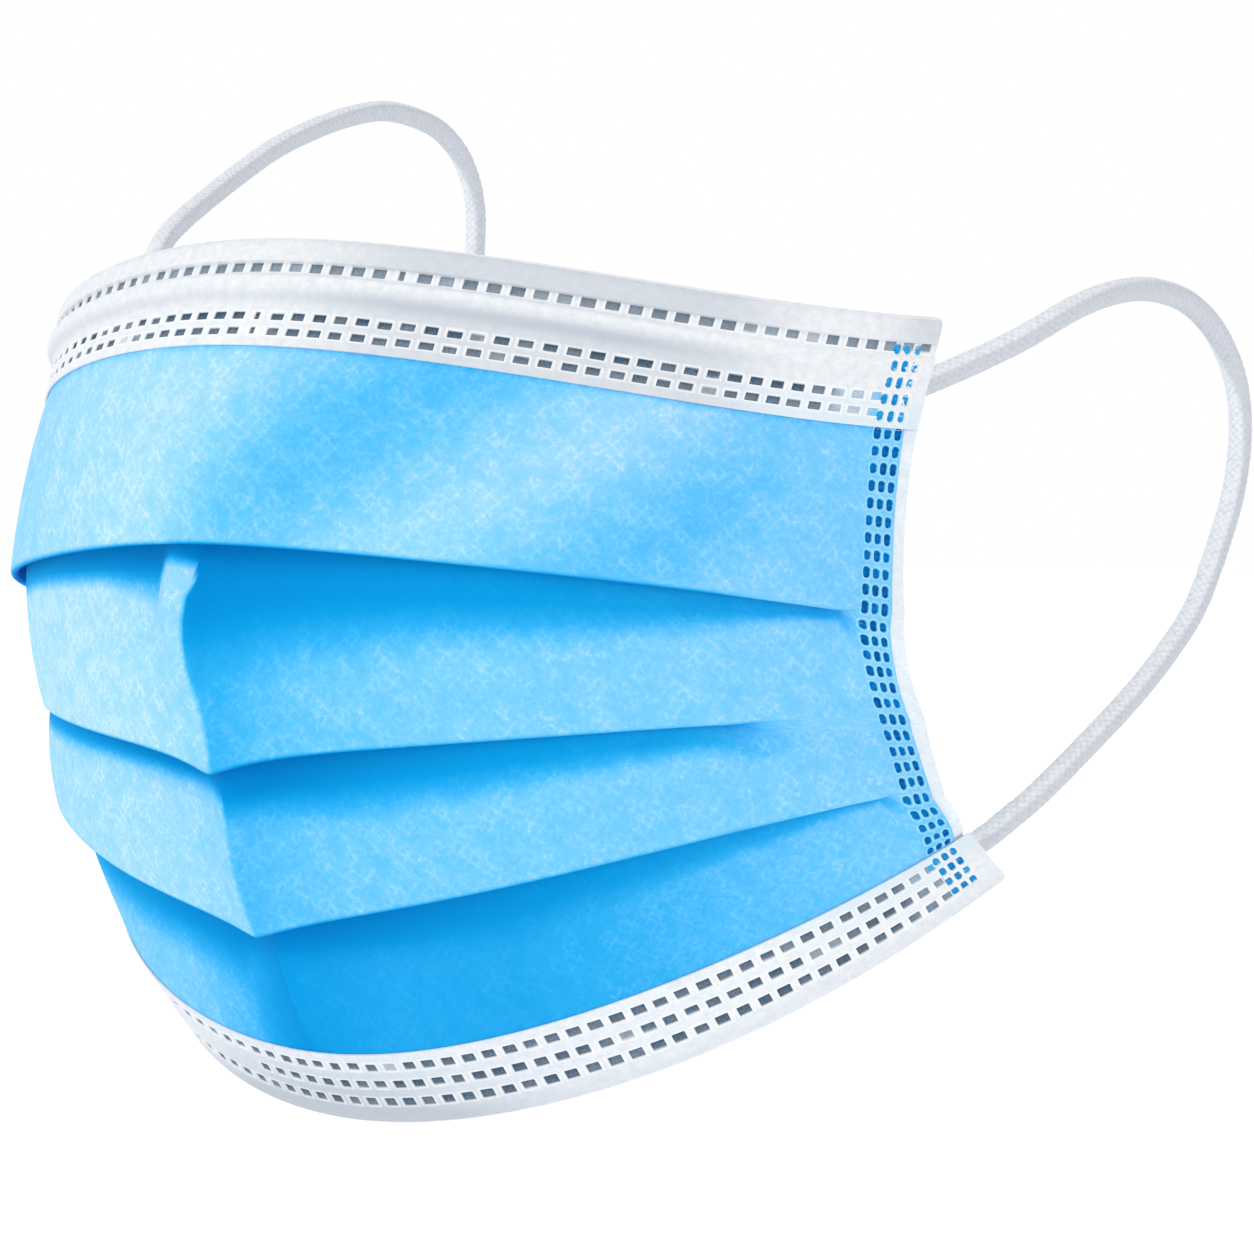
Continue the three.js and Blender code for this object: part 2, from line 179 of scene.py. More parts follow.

# The panels between the lips. Each swells out, sags in at the side and may have a ridge on the middle
# crease. Light is the painted light and shade of the blue at the places along the mask in TONE_PLACES, from
# 0, the deepest painted shade, to about 1: lighter on the side of the crease that faces the light, darker
# on the other. Under the lip above, a painted shadow fills the pocket down to the distance in pocket. The
# places are counted from the crease, which wanders by path on its way down. Pitch stretches the side welds.
TONE_PLACES = (-38, -20, -9, -7.9, -7.2, -3.6, -0.3, 0.4, 14, 30, 50, 75)
STRAIGHT = (0.0, 0.0)
PANELS = (
    dict(below="lip1", swell=1.0, sag=1.0, ridge=0.0, wave=1.0, path=STRAIGHT, pitch=0.965,
         light=(0.95, 1.02, 1.03, 1.03, 1.02, 0.99, 0.95, 0.92, 0.76, 0.76, 0.81, 0.79), pocket=None),
    dict(below="lip2", swell=1.2, sag=0.8, ridge=0.8, wave=0.0, pitch=0.98,
         path=(2.2, 1.5, 0.1, -1.2, -1.5, -1.4, -1.0, -0.1, 0.4, 0.5, 0.4),
         light=(1.07, 1.06, 1.01, 0.98, 0.97, 0.96, 0.93, 0.44, 0.70, 0.78, 0.80, 0.82),
         pocket=(3.2, 4.2, 6.6, 6.8, 3.4, 1.9, 2.6, 19.0, 15.5, 11.5, 8.5, 1.8)),
    dict(below="lip3", swell=1.2, sag=0.1, ridge=0.6, wave=0.0, path=STRAIGHT, pitch=0.87,
         light=(1.01, 1.01, 0.96, 0.94, 0.92, 0.90, 0.88, 0.54, 0.72, 0.75, 0.76, 0.82),
         pocket=(3.6, 4.0, 4.2, 4.2, 4.2, 4.2, 4.2, 6.3, 9.6, 8.0, 4.8, 1.8)),
    dict(below="band_bottom", swell=0.8, sag=-0.8, ridge=0.5, wave=0.0, path=STRAIGHT, pitch=1.2,
         light=(0.80, 0.77, 0.50, 0.39, 0.33, 0.20, 0.13, 0.21, 0.31, 0.32, 0.50, 0.74),
         pocket=(11.0, 11.0, 12.0, 9.0, 8.0, 7.0, 5.5, 4.5, 6.8, 8.5, 5.4, 1.6)),
)
# How dark the painted shadow in a pocket under a lip gets, at the middle and at the side, and over what share
# of its reach it stays fully dark.
POCKET_TONE = dict(middle=0.08, side=0.34)
POCKET_LIP = 0.28  # the share of the pocket's reach that stays fully deep
BAND_SHADOW = dict(depth=0.3, reach=0.4)  # the darker line on the blue just under the top binding
# The painted light level of the blue behind the bindings.
HIDDEN_TONE = dict(top=0.8, bottom=0.5)  # the blue behind the bindings
# The diagonal swell of the first panel, the painted light and shade it lays along its slopes as tone, and
# where along the mask it comes in and dies out.
WAVE = dict(height=1.5, length=48, slant=31, crest=57, lead=9, tone=0.17, comes=(-14, 10), dies=(60, 76))
RIDGE_WIDTH = 3.5  # how far to each side a panel's ridge on the crease reaches
FOLLOW = (3.0, 14.0)  # the grid's columns follow the crease up to the first, and don't past the second
WELD_LINES = (0.0, 0.09, 0.17, 0.25, 0.5, 0.75, 0.83, 0.91)  # lines across one side weld's pitch
LEAST_CELL = 0.02  # how near, in pitches, such a line may lie to the end of a panel
BAND_SPACING = 1.2  # of a ply's rows behind a binding
PLAIN_SPACING = 1.6  # of its columns between the crease and the side welds
WELD_EDGE = (-0.15, -0.04, 0.08)  # its columns beside the edge of a side weld
LEAST_GAP = 0.05  # between the last two columns
CREASE_COLUMNS = (0.0, 0.35, 0.8, 1.4, 2.1, 2.9, 3.8, 4.7, 5.7, 6.6, 7.2, 7.9, 8.8)

LOOP_LEFT_ROUTE = (
    (55.3, 39.8, -17.7), (56.6, 42.6, -18.2), (57.8, 45.5, -18.7), (59, 51.2, -17), (60.6, 55.2, -15.5),
    (62.5, 60.2, -13.5), (64.8, 66.4, -10.8), (66.4, 76, -6.8), (66.5, 86, -4.5), (66.5, 95, -3.9),
    (66.5, 104, -5.2), (66.5, 111.3, -8.8), (66.5, 116.4, -14.6), (66.5, 117.7, -21.3),
    (66.5, 116, -28.7), (66.5, 111.5, -36.3), (66.9, 105, -43.6), (66.7, 98.2, -49), (66.4, 89.8, -54.3),
    (65.1, 80.2, -60.3), (63.1, 72.6, -65.6), (61.5, 69, -68.2), (60, 65.5, -70.5), (58.3, 61, -72),
    (57.5, 58.2, -73.2), (56.3, 55.4, -74.5),
)
LOOP_RIGHT_ROUTE = (
    (-56.2, 41.5, -20), (-56.1, 42.2, -14.5), (-56.3, 43, -9), (-56.9, 43.8, -3.5), (-58, 45.6, 1.2),
    (-59.2, 48.9, 4.8), (-60.5, 53, 7.4), (-62.2, 58.9, 10.4), (-63.5, 67.5, 15), (-64, 76.1, 19.6),
    (-64, 84.2, 23), (-64, 92.6, 25.7), (-64, 100.3, 27.1), (-64, 107.7, 26.6), (-64, 113.5, 24.9),
    (-64, 118.3, 21.1), (-64, 121, 15.1), (-64, 121, 7.3), (-64, 119.5, -3), (-64.2, 115.5, -16),
    (-64.5, 109, -29), (-64.6, 101, -40.5), (-64.4, 91, -50), (-64.2, 81, -58.6), (-63.1, 72.6, -65.6),
    (-61.5, 69, -68.2), (-60, 65.5, -70.5), (-58.3, 61, -72), (-57.5, 58.2, -73.2),
    (-56.3, 55.4, -74.5),
)

# ------------ camera

AZIMUTH = math.radians(37)
ELEVATION = math.radians(1.75)
DISTANCE = 430.0
LOOK_AT = Vector((36.48, 25.78, -44.68))
LENS = 107.57
SENSOR_WIDTH = 36
CLIP_START = 0.01  # in metres


def make_camera():
    data = bpy.data.cameras.new("camera")
    data.lens = LENS
    data.sensor_width = SENSOR_WIDTH
    data.clip_start = CLIP_START
    camera = bpy.data.objects.new("camera", data)
    bpy.context.scene.collection.objects.link(camera)
    back = Vector((
        math.sin(AZIMUTH) * math.cos(ELEVATION),
        -math.cos(AZIMUTH) * math.cos(ELEVATION),
        math.sin(ELEVATION),
    ))
    camera.location = (LOOK_AT + back * DISTANCE) * MM
    camera.rotation_euler = back.to_track_quat("Z", "Y").to_euler()
    bpy.context.scene.camera = camera


# ------------ small helpers


def ease(low, high, x):
    """0 below low, 1 above high, and smooth between them."""
    t = np.clip((x - low) / (high - low), 0, 1)
    return t * t * (3 - 2 * t)


def between(x, comes, goes):
    """0, then 1 between two slopes, then 0 again."""
    return ease(*comes, x) * (1 - ease(*goes, x))


def bell(x, middle, width):
    return np.exp(-(((x - middle) / width) ** 2))


def peak(x, width):
    """1 on a crease and less on both sides of it, with a slightly rounded top."""
    return np.exp(-(np.hypot(x, CREASE_ROUND) - CREASE_ROUND) / width)


def unit(v):
    return v / np.linalg.norm(v, axis=-1, keepdims=True)


def dot(a, b):
    return (a * b).sum(-1, keepdims=True)


def catmull(points, per_segment):
    """A smooth line through all the points."""
    p = np.asarray(points, float)
    p = np.vstack([2 * p[0] - p[1], p, 2 * p[-1] - p[-2]])
    t = np.linspace(0, 1, per_segment, endpoint=False)[:, None]
    parts = []
    for a, b, c, d in zip(p[:-3], p[1:-2], p[2:-1], p[3:]):
        parts.append(0.5 * (2 * b + (c - a) * t + (2 * a - 5 * b + 4 * c - d) * t**2
                            + (3 * b - a - 3 * c + d) * t**3))
    return np.vstack([*parts, p[-2][None]])


def lengths_along(line):
    """How far each point of a line, or of each line in a grid's columns, is from its start."""
    steps = np.linalg.norm(np.diff(line, axis=-2), axis=-1)
    start = np.zeros(steps.shape[:-1] + (1,))
    return np.concatenate([start, np.cumsum(steps, axis=-1)], axis=-1)


def lines_between(low, high, spacing, fixed=()):
    """Sorted places from low to high, no further apart than spacing, with the fixed ones among them."""
    marks = sorted({low, high, *(m for m in fixed if low < m < high)})
    places = []
    for a, b in zip(marks[:-1], marks[1:]):
        places.extend(np.linspace(a, b, max(1, math.ceil((b - a) / spacing - 1e-6)), endpoint=False))
    return np.array([*places, high])


# ------------ laying the cloth


def through_three(start, half, end, t):
    """The parabola through three values, at 0, a half and 1."""
    return start * (1 - t) * (1 - 2 * t) + half * 4 * t * (1 - t) + end * t * (2 * t - 1)


def lay_line(row, bow=0.0, dip=0.0):
    """Lays one line of cloth and returns its points at any distances s from the middle."""
    step = HALF_WIDTH / LINE_STEPS
    t = np.minimum((np.arange(LINE_STEPS + SPARE_STEPS) + 0.5) / LINE_STEPS, 1)
    turn = np.radians(through_three(*row["turn"], t))
    rise = np.radians(through_three(*row["rise"], t))
    heading = np.stack([np.cos(rise) * np.cos(turn), np.cos(rise) * np.sin(turn), np.sin(rise)], -1)
    points = np.vstack([np.zeros(3), np.cumsum(heading * step, axis=0)])
    marks = np.arange(len(points)) * step

    def at(s):
        reach = np.abs(s)
        x, y, z = (np.interp(reach, marks, points[:, k]) for k in range(3))
        crease = peak(reach, CREASE_WIDTH)
        return np.stack([np.sign(s) * x, y + row["y"] - bow * crease, z + row["z"] - dip * crease], -1)

    return at


line = {name: lay_line(row, **CREASE.get(name, {})) for name, row in LINES.items()}


def run_of(name, s, reach=0.5):
    """Which way a line of the cloth runs at s."""
    return unit(line[name](s + reach) - line[name](s - reach))


def inward_of(run, down):
    """The direction through the cloth toward the face."""
    return unit(np.cross(run, down))


def band_frame(place, s):
    """The free and the inner edge of a binding at s, and the directions down and in toward the face."""
    edge = line[place](s)
    inner = line["band_" + place](s)
    down = unit(inner - edge)
    if place == "bottom":
        down = -down
    return edge, inner, down, inward_of(run_of(place, s), down)


def opened(pleat, s):
    """How far a pleat has opened out flat, from 0 to 1."""
    return ease(*pleat["flat"], np.abs(s))


def fold_size(pleat, s):
    """How far a pleat's fold goes in and up, and the radii of its lip and of the tuck behind it."""
    pop = 1 - pleat["pop"] * bell(s, pleat["pop_at"], POP_WIDTH)
    recess = pleat["side"] + (pleat["recess"] - pleat["side"]) * bell(s, 0, pleat["spread"]) * pop
    # both arcs grow smaller where the fold is shallow
    lip_radius = np.minimum(FOLD_RADIUS, recess / 3)
    tuck_radius = np.minimum(TUCK_RADIUS, recess / 6)
    flat = opened(pleat, s)
    drawn_out = ease(*OPENED["drawn_out"], flat)
    level = ease(*OPENED["levelled"], flat)
    tuck = pleat["tuck"] * (1 - drawn_out) + OPENED["tuck"] * drawn_out
    recess = recess * (1 - level) + OPENED["recess"] * level
    return recess, tuck, lip_radius, tuck_radius


def fold_path(lip, down, inward, next_end, pleat, s):
    """The cloth round a lip and up to the tuck behind it: an arc, a straight and an arc back."""
    recess, tuck, r1, r2 = fold_size(pleat, s)
    # centres of the two arcs, as (down, inward) from the lip
    c1 = np.stack([-r1, r1], -1)
    c2 = np.stack([r2 - tuck, recess - r2], -1)
    gap = c2 - c1
    span = np.hypot(gap[:, 0], gap[:, 1])
    straight = np.sqrt(np.maximum(span**2 - (r1 + r2) ** 2, 1e-6))
    turned = np.arctan2(gap[:, 1], gap[:, 0]) + np.arctan2(r1 + r2, straight)
    start2 = lip + c2[:, :1] * down + c2[:, 1:] * inward
    ahead = next_end - start2
    leave = np.minimum(np.arctan2(dot(ahead, inward)[:, 0], dot(ahead, down)[:, 0]), turned - LEAST_BEND)

    def place(centre, radius, angle, side):
        off = side * radius
        d = centre[:, 0] - off * np.sin(angle)
        i = centre[:, 1] + off * np.cos(angle)
        return lip + d[:, None] * down + i[:, None] * inward

    front = [place(c1, r1, turned * k / FOLD_STEPS, -1) for k in range(FOLD_STEPS + 1)]
    back = [place(c2, r2, turned + (leave - turned) * k / FOLD_STEPS, 1) for k in range(FOLD_STEPS + 1)]
    shares = np.arange(1, STRAIGHT_STEPS) / STRAIGHT_STEPS
    return front + [front[-1] + (back[0] - front[-1]) * share for share in shares] + back


def wave_at(s, part, lead=0.0):
    """The diagonal swell across a panel, from -1 in its valleys to 1 on its crests."""
    phase = (s + WAVE["slant"] * part - WAVE["crest"] - lead) / WAVE["length"]
    return np.cos(2 * np.pi * phase) * between(s, WAVE["comes"], WAVE["dies"])


def crease_at(panel, part):
    """Where the middle crease is, a share of the way down a panel."""
    return np.interp(part, np.linspace(0, 1, len(panel["path"])), panel["path"])


def panel_row(start, end, inward, panel, s, part):
    """One row of a panel, a share of the way down from its start."""
    out = np.minimum(np.abs(s) / HALF_WIDTH, 1)
    middle = 1 - out**2
    side = out**6
    crease = peak(s - crease_at(panel, part), RIDGE_WIDTH)
    swell = panel["swell"] + panel["wave"] * WAVE["height"] * wave_at(s, part, WAVE["lead"])
    lift = 4 * part * (1 - part) * (middle * swell + panel["ridge"] * crease - side * panel["sag"])
    return start + (end - start) * part - inward * lift[:, None]


def panel_tone(panel, s, part, below_lip, strength):
    """Painted light and shade of the blue along a panel's row, with painted shadow under the lip or binding
    above.
    """
    off = s - crease_at(panel, part)
    light = np.interp(off, TONE_PLACES, panel["light"]) + panel["wave"] * WAVE["tone"] * wave_at(s, part)
    if panel["pocket"] is None:
        return light * (1 - BAND_SHADOW["depth"] * np.exp(-below_lip / BAND_SHADOW["reach"]))
    reach = np.interp(np.where(off > 0, off, s), TONE_PLACES, panel["pocket"])
    open_ = ease(POCKET_LIP * reach, reach, below_lip)
    deep = np.interp(np.abs(s), (0, HALF_WIDTH), (POCKET_TONE["middle"], POCKET_TONE["side"]))
    shade = deep + (light - deep) * open_
    return shade * strength + light * (1 - strength)


def along_row(row, s, places):
    """A row of values or points, given at s, at other places along it."""
    if row.ndim == 1:
        return np.interp(places, s, row)
    return np.stack([np.interp(places, s, row[:, k]) for k in range(row.shape[1])], -1)


def leaned(s, run):
    """Places along the mask, moved at the sides as the columns of side welds lean."""
    out = np.interp(run, SIDE_LEAN["run"], SIDE_LEAN["out"])
    return s + np.sign(s) * out * ease(*SIDE_LEAN["zone"], np.abs(s))


def band_rows(place, s, skip):
    """A ply's rows behind a binding, each with its distance from the free edge, from skip on."""
    edge, inner, _, inward = band_frame(place, s)
    return [(d, edge + (inner - edge) * d / BAND[place] + inward * LAYER)
            for d in lines_between(skip[place], BAND[place], BAND_SPACING)]


def panel_parts(cells, done, first):
    """How far down a panel its rows lie, from 0 to 1: on the weld lines of its cells, from done on."""
    marks = [cell + place - done % 1 for cell in range(math.ceil(cells) + 2) for place in WELD_LINES]
    return [0.0] * first + [m / cells for m in marks if LEAST_CELL < m < cells - LEAST_CELL] + [1.0]


def cloth_grid(s, skip, lean):
    """The cloth at columns s, without the strips to skip along its top and bottom edges.

    The columns follow the middle crease and, if lean is set, the columns of side welds. Returns the
    points, how far each is along the mask, its place in the run of side welds, in pitches, its painted
    light and shade, and the first and last row of each fold.
    """
    top_rows, bottom_rows = (band_rows(place, s, skip) for place in ("top", "bottom"))
    bottom_start = bottom_rows[-1][1]
    pitch = SIDE_WELD["pitch"]
    at_side = int(np.argmin(np.abs(s - SIDE_COLUMNS[1])))
    hold = 1 - ease(*FOLLOW, np.abs(s))
    rows, across, places, tones, folds = [], [], [], [], []

    def add(row, along, place, tone):
        rows.append(along_row(row, s, leaned(s, place)) if lean else row)
        across.append(along)
        places.append(place)
        tones.append(np.broadcast_to(tone, s.shape))

    for d, row in top_rows:
        add(row, s, (d - BAND["top"]) / pitch + FIRST_WELD, HIDDEN_TONE["top"])
    start = rows[-1]
    done = FIRST_WELD
    hidden = strength = np.zeros(s.shape)  # what the lip above hides of a panel, and how far it is folded
    for k, panel in enumerate(PANELS):
        name = panel["below"]
        pleat = PLEATS.get(name)
        end = line[name](s) if pleat else bottom_start
        down = unit(end - start)
        inward = inward_of(run_of(name, s), down)
        stop = end - down * FOLD_RADIUS if pleat else end
        height = np.linalg.norm(stop - start, axis=-1)
        cells = height[at_side] / (pitch * panel["pitch"])
        for part in panel_parts(cells, done, k == 0)[: -1 if pleat else None]:
            along = s + crease_at(panel, part) * hold
            here = [along_row(value, s, along) for value in (start, stop, inward, height, hidden, strength)]
            tone = panel_tone(panel, along, part, here[3] * part - here[4], here[5])
            add(panel_row(*here[:3], panel, along, part), along, done + part * cells, tone)
        done += cells
        if not pleat:
            break
        following = PANELS[k + 1]["below"]
        target = line[following](s) if following in PLEATS else bottom_start
        fold = fold_path(end, down, inward, target, pleat, s)
        # painted shade deepening round the inside of each fold, gone where it opens out and toward the side
        edge_tone = panel_tone(panel, s, 1.0, height - hidden, strength)
        flat = opened(pleat, s)
        shaded = 1 - FOLD_SHADE["gone"] * ease(*FOLD_SHADE["side"], np.abs(s))
        walked = [np.linalg.norm(row[at_side] - fold[0][at_side]) / pitch for row in fold]
        leave, meet = crease_at(panel, 1.0), crease_at(PANELS[k + 1], 0.0)
        folds.append((len(rows), len(rows) + len(fold) - 1))
        for i, row in enumerate(fold):
            part = i / (len(fold) - 1)
            along = s + (leave + (meet - leave) * ease(*CREASE_SHIFT, part)) * hold
            deep = ease(*FOLD_SHADE["inward"], part) * (1 - flat) * shaded
            tone = along_row(edge_tone * (1 - deep), s, along)
            add(along_row(row, s, along), along, done + walked[i], tone)
        done += walked[-1]
        start = fold[-1]
        hidden = pleat["tuck"] * (1 - flat)
        strength = 1 - flat
    for d, row in bottom_rows[-2::-1]:
        add(row, s, done + (BAND["bottom"] - d) / pitch, HIDDEN_TONE["bottom"])
    return np.stack(rows, 1), np.stack(across, 1), np.array(places), np.stack(tones, 1), folds


def normals_of(grid):
    """The direction through the cloth toward the face at each point of a grid."""
    across = np.gradient(grid, axis=0)
    along = np.zeros_like(grid)
    steps = unit(np.diff(grid, axis=1) + 1e-9)
    along[:, 1:-1] = steps[:, 1:] + steps[:, :-1]
    along[:, 0] = steps[:, 0]
    along[:, -1] = steps[:, -1]
    return unit(np.cross(across, along))


def side_columns(half_width):
    """Columns across a ply: coarse in the middle, and fine over the crease and the three side welds."""
    half = SIDE_WELD["width"] / 2
    fine = []
    for column in SIDE_COLUMNS:
        fine += [column + side * (half + step) for side in (-1, 1) for step in WELD_EDGE]
        fine.append(column)
    fine = sorted(m for m in fine if m < half_width - LEAST_GAP)
    plain = list(lines_between(CREASE_COLUMNS[-1], fine[0], PLAIN_SPACING))[1:-1]
    right = np.array([*CREASE_COLUMNS, *plain, *fine, half_width])
    return np.concatenate([-right[:0:-1], right])


def rounded_box(a, b, half_a, half_b, radius):
    """Signed distance from a rounded rectangle's edge, less than 0 inside."""
    qa = np.abs(a) - half_a + radius
    qb = np.abs(b) - half_b + radius
    return np.hypot(np.maximum(qa, 0), np.maximum(qb, 0)) + np.minimum(np.maximum(qa, qb), 0) - radius


def pressed(distance, wall):
    """How far down a weld is pressed, from 0 outside to 1 on its floor."""
    return 1 - ease(-wall, WALL_OUT, distance)


def rim(distance):
    """The cloth that a weld squeezes up round itself."""
    return bell(distance, RIM["out"], RIM["width"])


def side_relief(s, run):
    """How far the side welds press the cloth down and squeeze it up round them, from 0 to 1.

    Run counts along them in pitches.
    """
    column = np.clip(np.round((np.abs(s) - SIDE_COLUMNS[0]) / SIDE_STEP), 0, len(SIDE_COLUMNS) - 1)
    across = np.abs(s) - SIDE_COLUMNS[0] - column * SIDE_STEP
    along = (run - np.floor(run) - 0.5) * SIDE_WELD["pitch"]
    halves = SIDE_WELD["width"] / 2, SIDE_WELD["length"] / 2
    distance = rounded_box(across, along, *halves, SIDE_WELD["round"])
    return pressed(distance, SIDE_WELD["wall"]), rim(distance)


# ------------ meshes


def link(obj):
    bpy.context.scene.collection.objects.link(obj)
    return obj


def make_mesh(name, points, faces, uv=None, fields=None):
    mesh = bpy.data.meshes.new(name)
    mesh.from_pydata((points * MM).tolist(), [], faces)
    corners = np.empty(len(mesh.loops), dtype=np.int32)
    mesh.loops.foreach_get("vertex_index", corners)
    if uv is not None:
        layer = mesh.uv_layers.new(name="cloth")
        layer.data.foreach_set("uv", uv[corners].astype(np.float32).ravel())
    for key, values in (fields or {}).items():
        attribute = mesh.attributes.new(key, "FLOAT", "POINT")
        attribute.data.foreach_set("value", values.astype(np.float32).ravel())
    mesh.shade_smooth()
    mesh.set_sharp_from_angle(angle=math.radians(SHARP_ANGLE))
    mesh.validate()
    return link(bpy.data.objects.new(name, mesh))


def faces_between(index):
    """Four-sided faces between the neighbours in a table of vertices."""
    corners = (index[:-1, :-1], index[:-1, 1:], index[1:, 1:], index[1:, :-1])
    return np.stack(corners, -1).reshape(-1, 4).tolist()


def closed_sheet(name, front, back, uv, fields, front_only=()):
    """A closed body between two grids of points, front facing away from the face.

    The fields named in front_only are 0 on the back.
    """
    index = np.arange(front.size // 3).reshape(front.shape[:2])
    other = index + index.size
    faces = faces_between(index) + faces_between(other.T)
    for edge in (np.s_[0, ::-1], np.s_[-1, :], np.s_[:, 0], np.s_[::-1, -1]):
        faces += faces_between(np.stack([index[edge], other[edge]]))
    points = np.concatenate([front.reshape(-1, 3), back.reshape(-1, 3)])
    uv = np.concatenate([uv.reshape(-1, 2)] * 2)
    fields = {key: np.stack([v, v * (key not in front_only)]) for key, v in fields.items()}
    return make_mesh(name, points, faces, uv, fields)


def closed_tube(name, rings, fields=None, uv=None):
    """A closed body through rings of points, one after another."""
    index = np.arange(rings.size // 3).reshape(rings.shape[:2])
    ends = [index[0][::-1].tolist(), index[-1].tolist()]
    faces = faces_between(np.hstack([index, index[:, :1]])) + ends
    return make_mesh(name, rings.reshape(-1, 3), faces, uv, fields)


def cloth_uv(across, grid, folds):
    """Texture places in units of 100 mm: along the mask, and down the cloth.

    Each panel is measured from the lip below it, so that its texture lies straight where the pleats open.
    """
    down = lengths_along(grid)
    middle = len(down) // 2
    lips = [first for first, _ in folds] + [down.shape[1] - 1]
    shifts = [(down[middle, lip] - down[:, lip])[:, None] for lip in lips]
    rows = np.arange(down.shape[1])
    down = down + shifts[0]
    for (first, last), before, after in zip(folds, shifts, shifts[1:]):
        down = down + (after - before) * np.clip((rows - first) / (last - first), 0, 1)
    return np.stack([across, down], -1) / 100


def make_ply(name, half_width, skip, lean, walls, fields):
    """One ply, pressed at its side welds. Walls tell how deep its two faces lie, sink and rise there."""
    s = side_columns(half_width)
    grid, across, place, light, folds = cloth_grid(s, skip, lean)
    inward = normals_of(grid)
    run = np.broadcast_to(place, across.shape)
    press, rims = side_relief(across, run)
    faces = [grid + inward * (deep + press * sunk - rims * raised)[..., None] for deep, sunk, raised in walls]
    known = {"run": run, "light": light}
    return closed_sheet(name, *faces, cloth_uv(across, grid, folds), {key: known[key] for key in fields})


# ------------ bindings


def ridge_height(v, s):
    """How far the nose wire's channel stands out, v from the top edge and s from the middle."""
    along = 1 - ease(*RIDGE["fade"], np.abs(s) - WIRE_HALF_LENGTH)
    shape = between(v, (RIDGE["start"], RIDGE["full"]), (RIDGE["fall"], RIDGE["end"]))
    return RIDGE["rise"] * shape * (RIDGE["left"] + (1 - RIDGE["left"]) * along)


def weld_scale(s):
    """How much longer than usual the welds' pitch is at s."""
    stretch = WELD_STRETCH["most"] * (1 - ease(*WELD_STRETCH["places"], s))
    return 1 + stretch - WELD_SHRINK["most"] * ease(*WELD_SHRINK["places"], s)


def weld_marks(weld_rows):
    """Centres and half lengths of a binding's welds, with a little unevenness, one row each."""
    reach = max(row["reach"] for row in weld_rows)
    places = [weld_rows[0]["seam"]]
    while places[-1] < reach:
        places.append(places[-1] + WELD["pitch"] * weld_scale(places[-1]))
    while places[0] > -reach:
        places.insert(0, places[0] - WELD["pitch"] * weld_scale(places[0]))
    places = np.array(places[1:-1])
    centres = places[:, None] + rng.normal(0, UNEVEN["place"], (len(places), len(weld_rows)))
    halves = WELD["length"] / 2 * (1 + WELD["follow"] * (weld_scale(centres) - 1))
    halves = halves * (1 + rng.normal(0, UNEVEN["length"], halves.shape))
    for r, row in enumerate(weld_rows):
        short = np.abs(centres[:, r] - row["seam"]).argmin()
        halves[short, r] *= row["short"]
    return centres, halves


def marks_over(place, half, out, within):
    """Five lines over a weld: just past both its ends, just within them, and its middle."""
    return [place - half - out, place - half + within, place, place + half - within, place + half + out]


def binding_columns(centres, halves, half_width, v, weld_rows):
    """Column lines that follow the welds' ends, as one row of places for each row of the grid."""
    lines = np.concatenate([marks_over(c, h, *COLUMN_MARKS) for c, h in zip(centres, halves)])
    gaps = (lines[4:-1:5] + lines[5::5]) / 2
    full = np.concatenate([lines, gaps])
    full = full[np.argsort(full[:, 0], kind="stable")]
    inner = full[np.abs(full[:, 0]) < SIDE_COLUMNS[0] - SIDE_SPACE]
    fine = lines_between(SIDE_COLUMNS[0] - SIDE_WELD["width"] / 2 - SIDE_LEAD, half_width, SIDE_SPACING)
    ends = np.broadcast_to(fine[:, None], (len(fine), full.shape[1]))
    table = np.concatenate([-ends[::-1], inner, ends])
    return np.stack([np.interp(v, [row["place"] for row in weld_rows], r) for r in table])


def binding_welds(s, v, centres, halves, weld_rows):
    """Weld depth, rims, tone and place within the weld, over a binding's front."""
    press, rims, tone, high = (np.full(s.shape, value) for value in (0.0, 0.0, 0.5, 0.5))
    count = len(centres)
    for r, row in enumerate(weld_rows):
        half = row["height"] / 2
        rows = np.abs(v - row["place"]) < half + RIM_REACH
        sub_s = s[:, rows]
        nearest = np.abs(sub_s[..., None] - centres[:, r]).argmin(-1)
        a = sub_s - centres[nearest, r]
        b = v[rows] - row["place"] - rng.normal(0, UNEVEN["row"], count)[nearest]
        d = rounded_box(a, b, halves[nearest, r], half, WELD["round"])
        share = np.clip(PRESSED["most"] - rng.exponential(PRESSED["spread"], count), PRESSED["least"], 1)
        there = (np.abs(centres[:, r]) < row["reach"]) & (centres[:, r] > row.get("start", -row["reach"]))
        share = (share * there)[nearest]
        press[:, rows] = np.maximum(press[:, rows], pressed(d, WELD["wall"]) * share)
        rims[:, rows] = np.maximum(rims[:, rows], rim(d) * (share > 0))
        film = np.clip(row["pale"] + rng.exponential(UNEVEN["film"], count), 0, 1)[nearest]
        near = np.abs(b) < half + TONE_REACH
        tone[:, rows] = np.where(near, film, tone[:, rows])
        # how high in the weld each place is, which gives a painted shadow under the weld's upper wall
        high[:, rows] = np.where(near, np.clip(0.5 - b / row["height"], 0, 1), high[:, rows])
    return press, rims, tone, high


def round_corner(s, v, half_width):
    """Pulls in the last columns of a binding near its free edge, for a rounded corner."""
    cut = CORNER - np.sqrt(CORNER**2 - np.clip(CORNER - v, 0, CORNER) ** 2)
    near = ease(half_width - CORNER_REACH, half_width, np.abs(s))
    return s - np.sign(s) * near * cut[None, :]


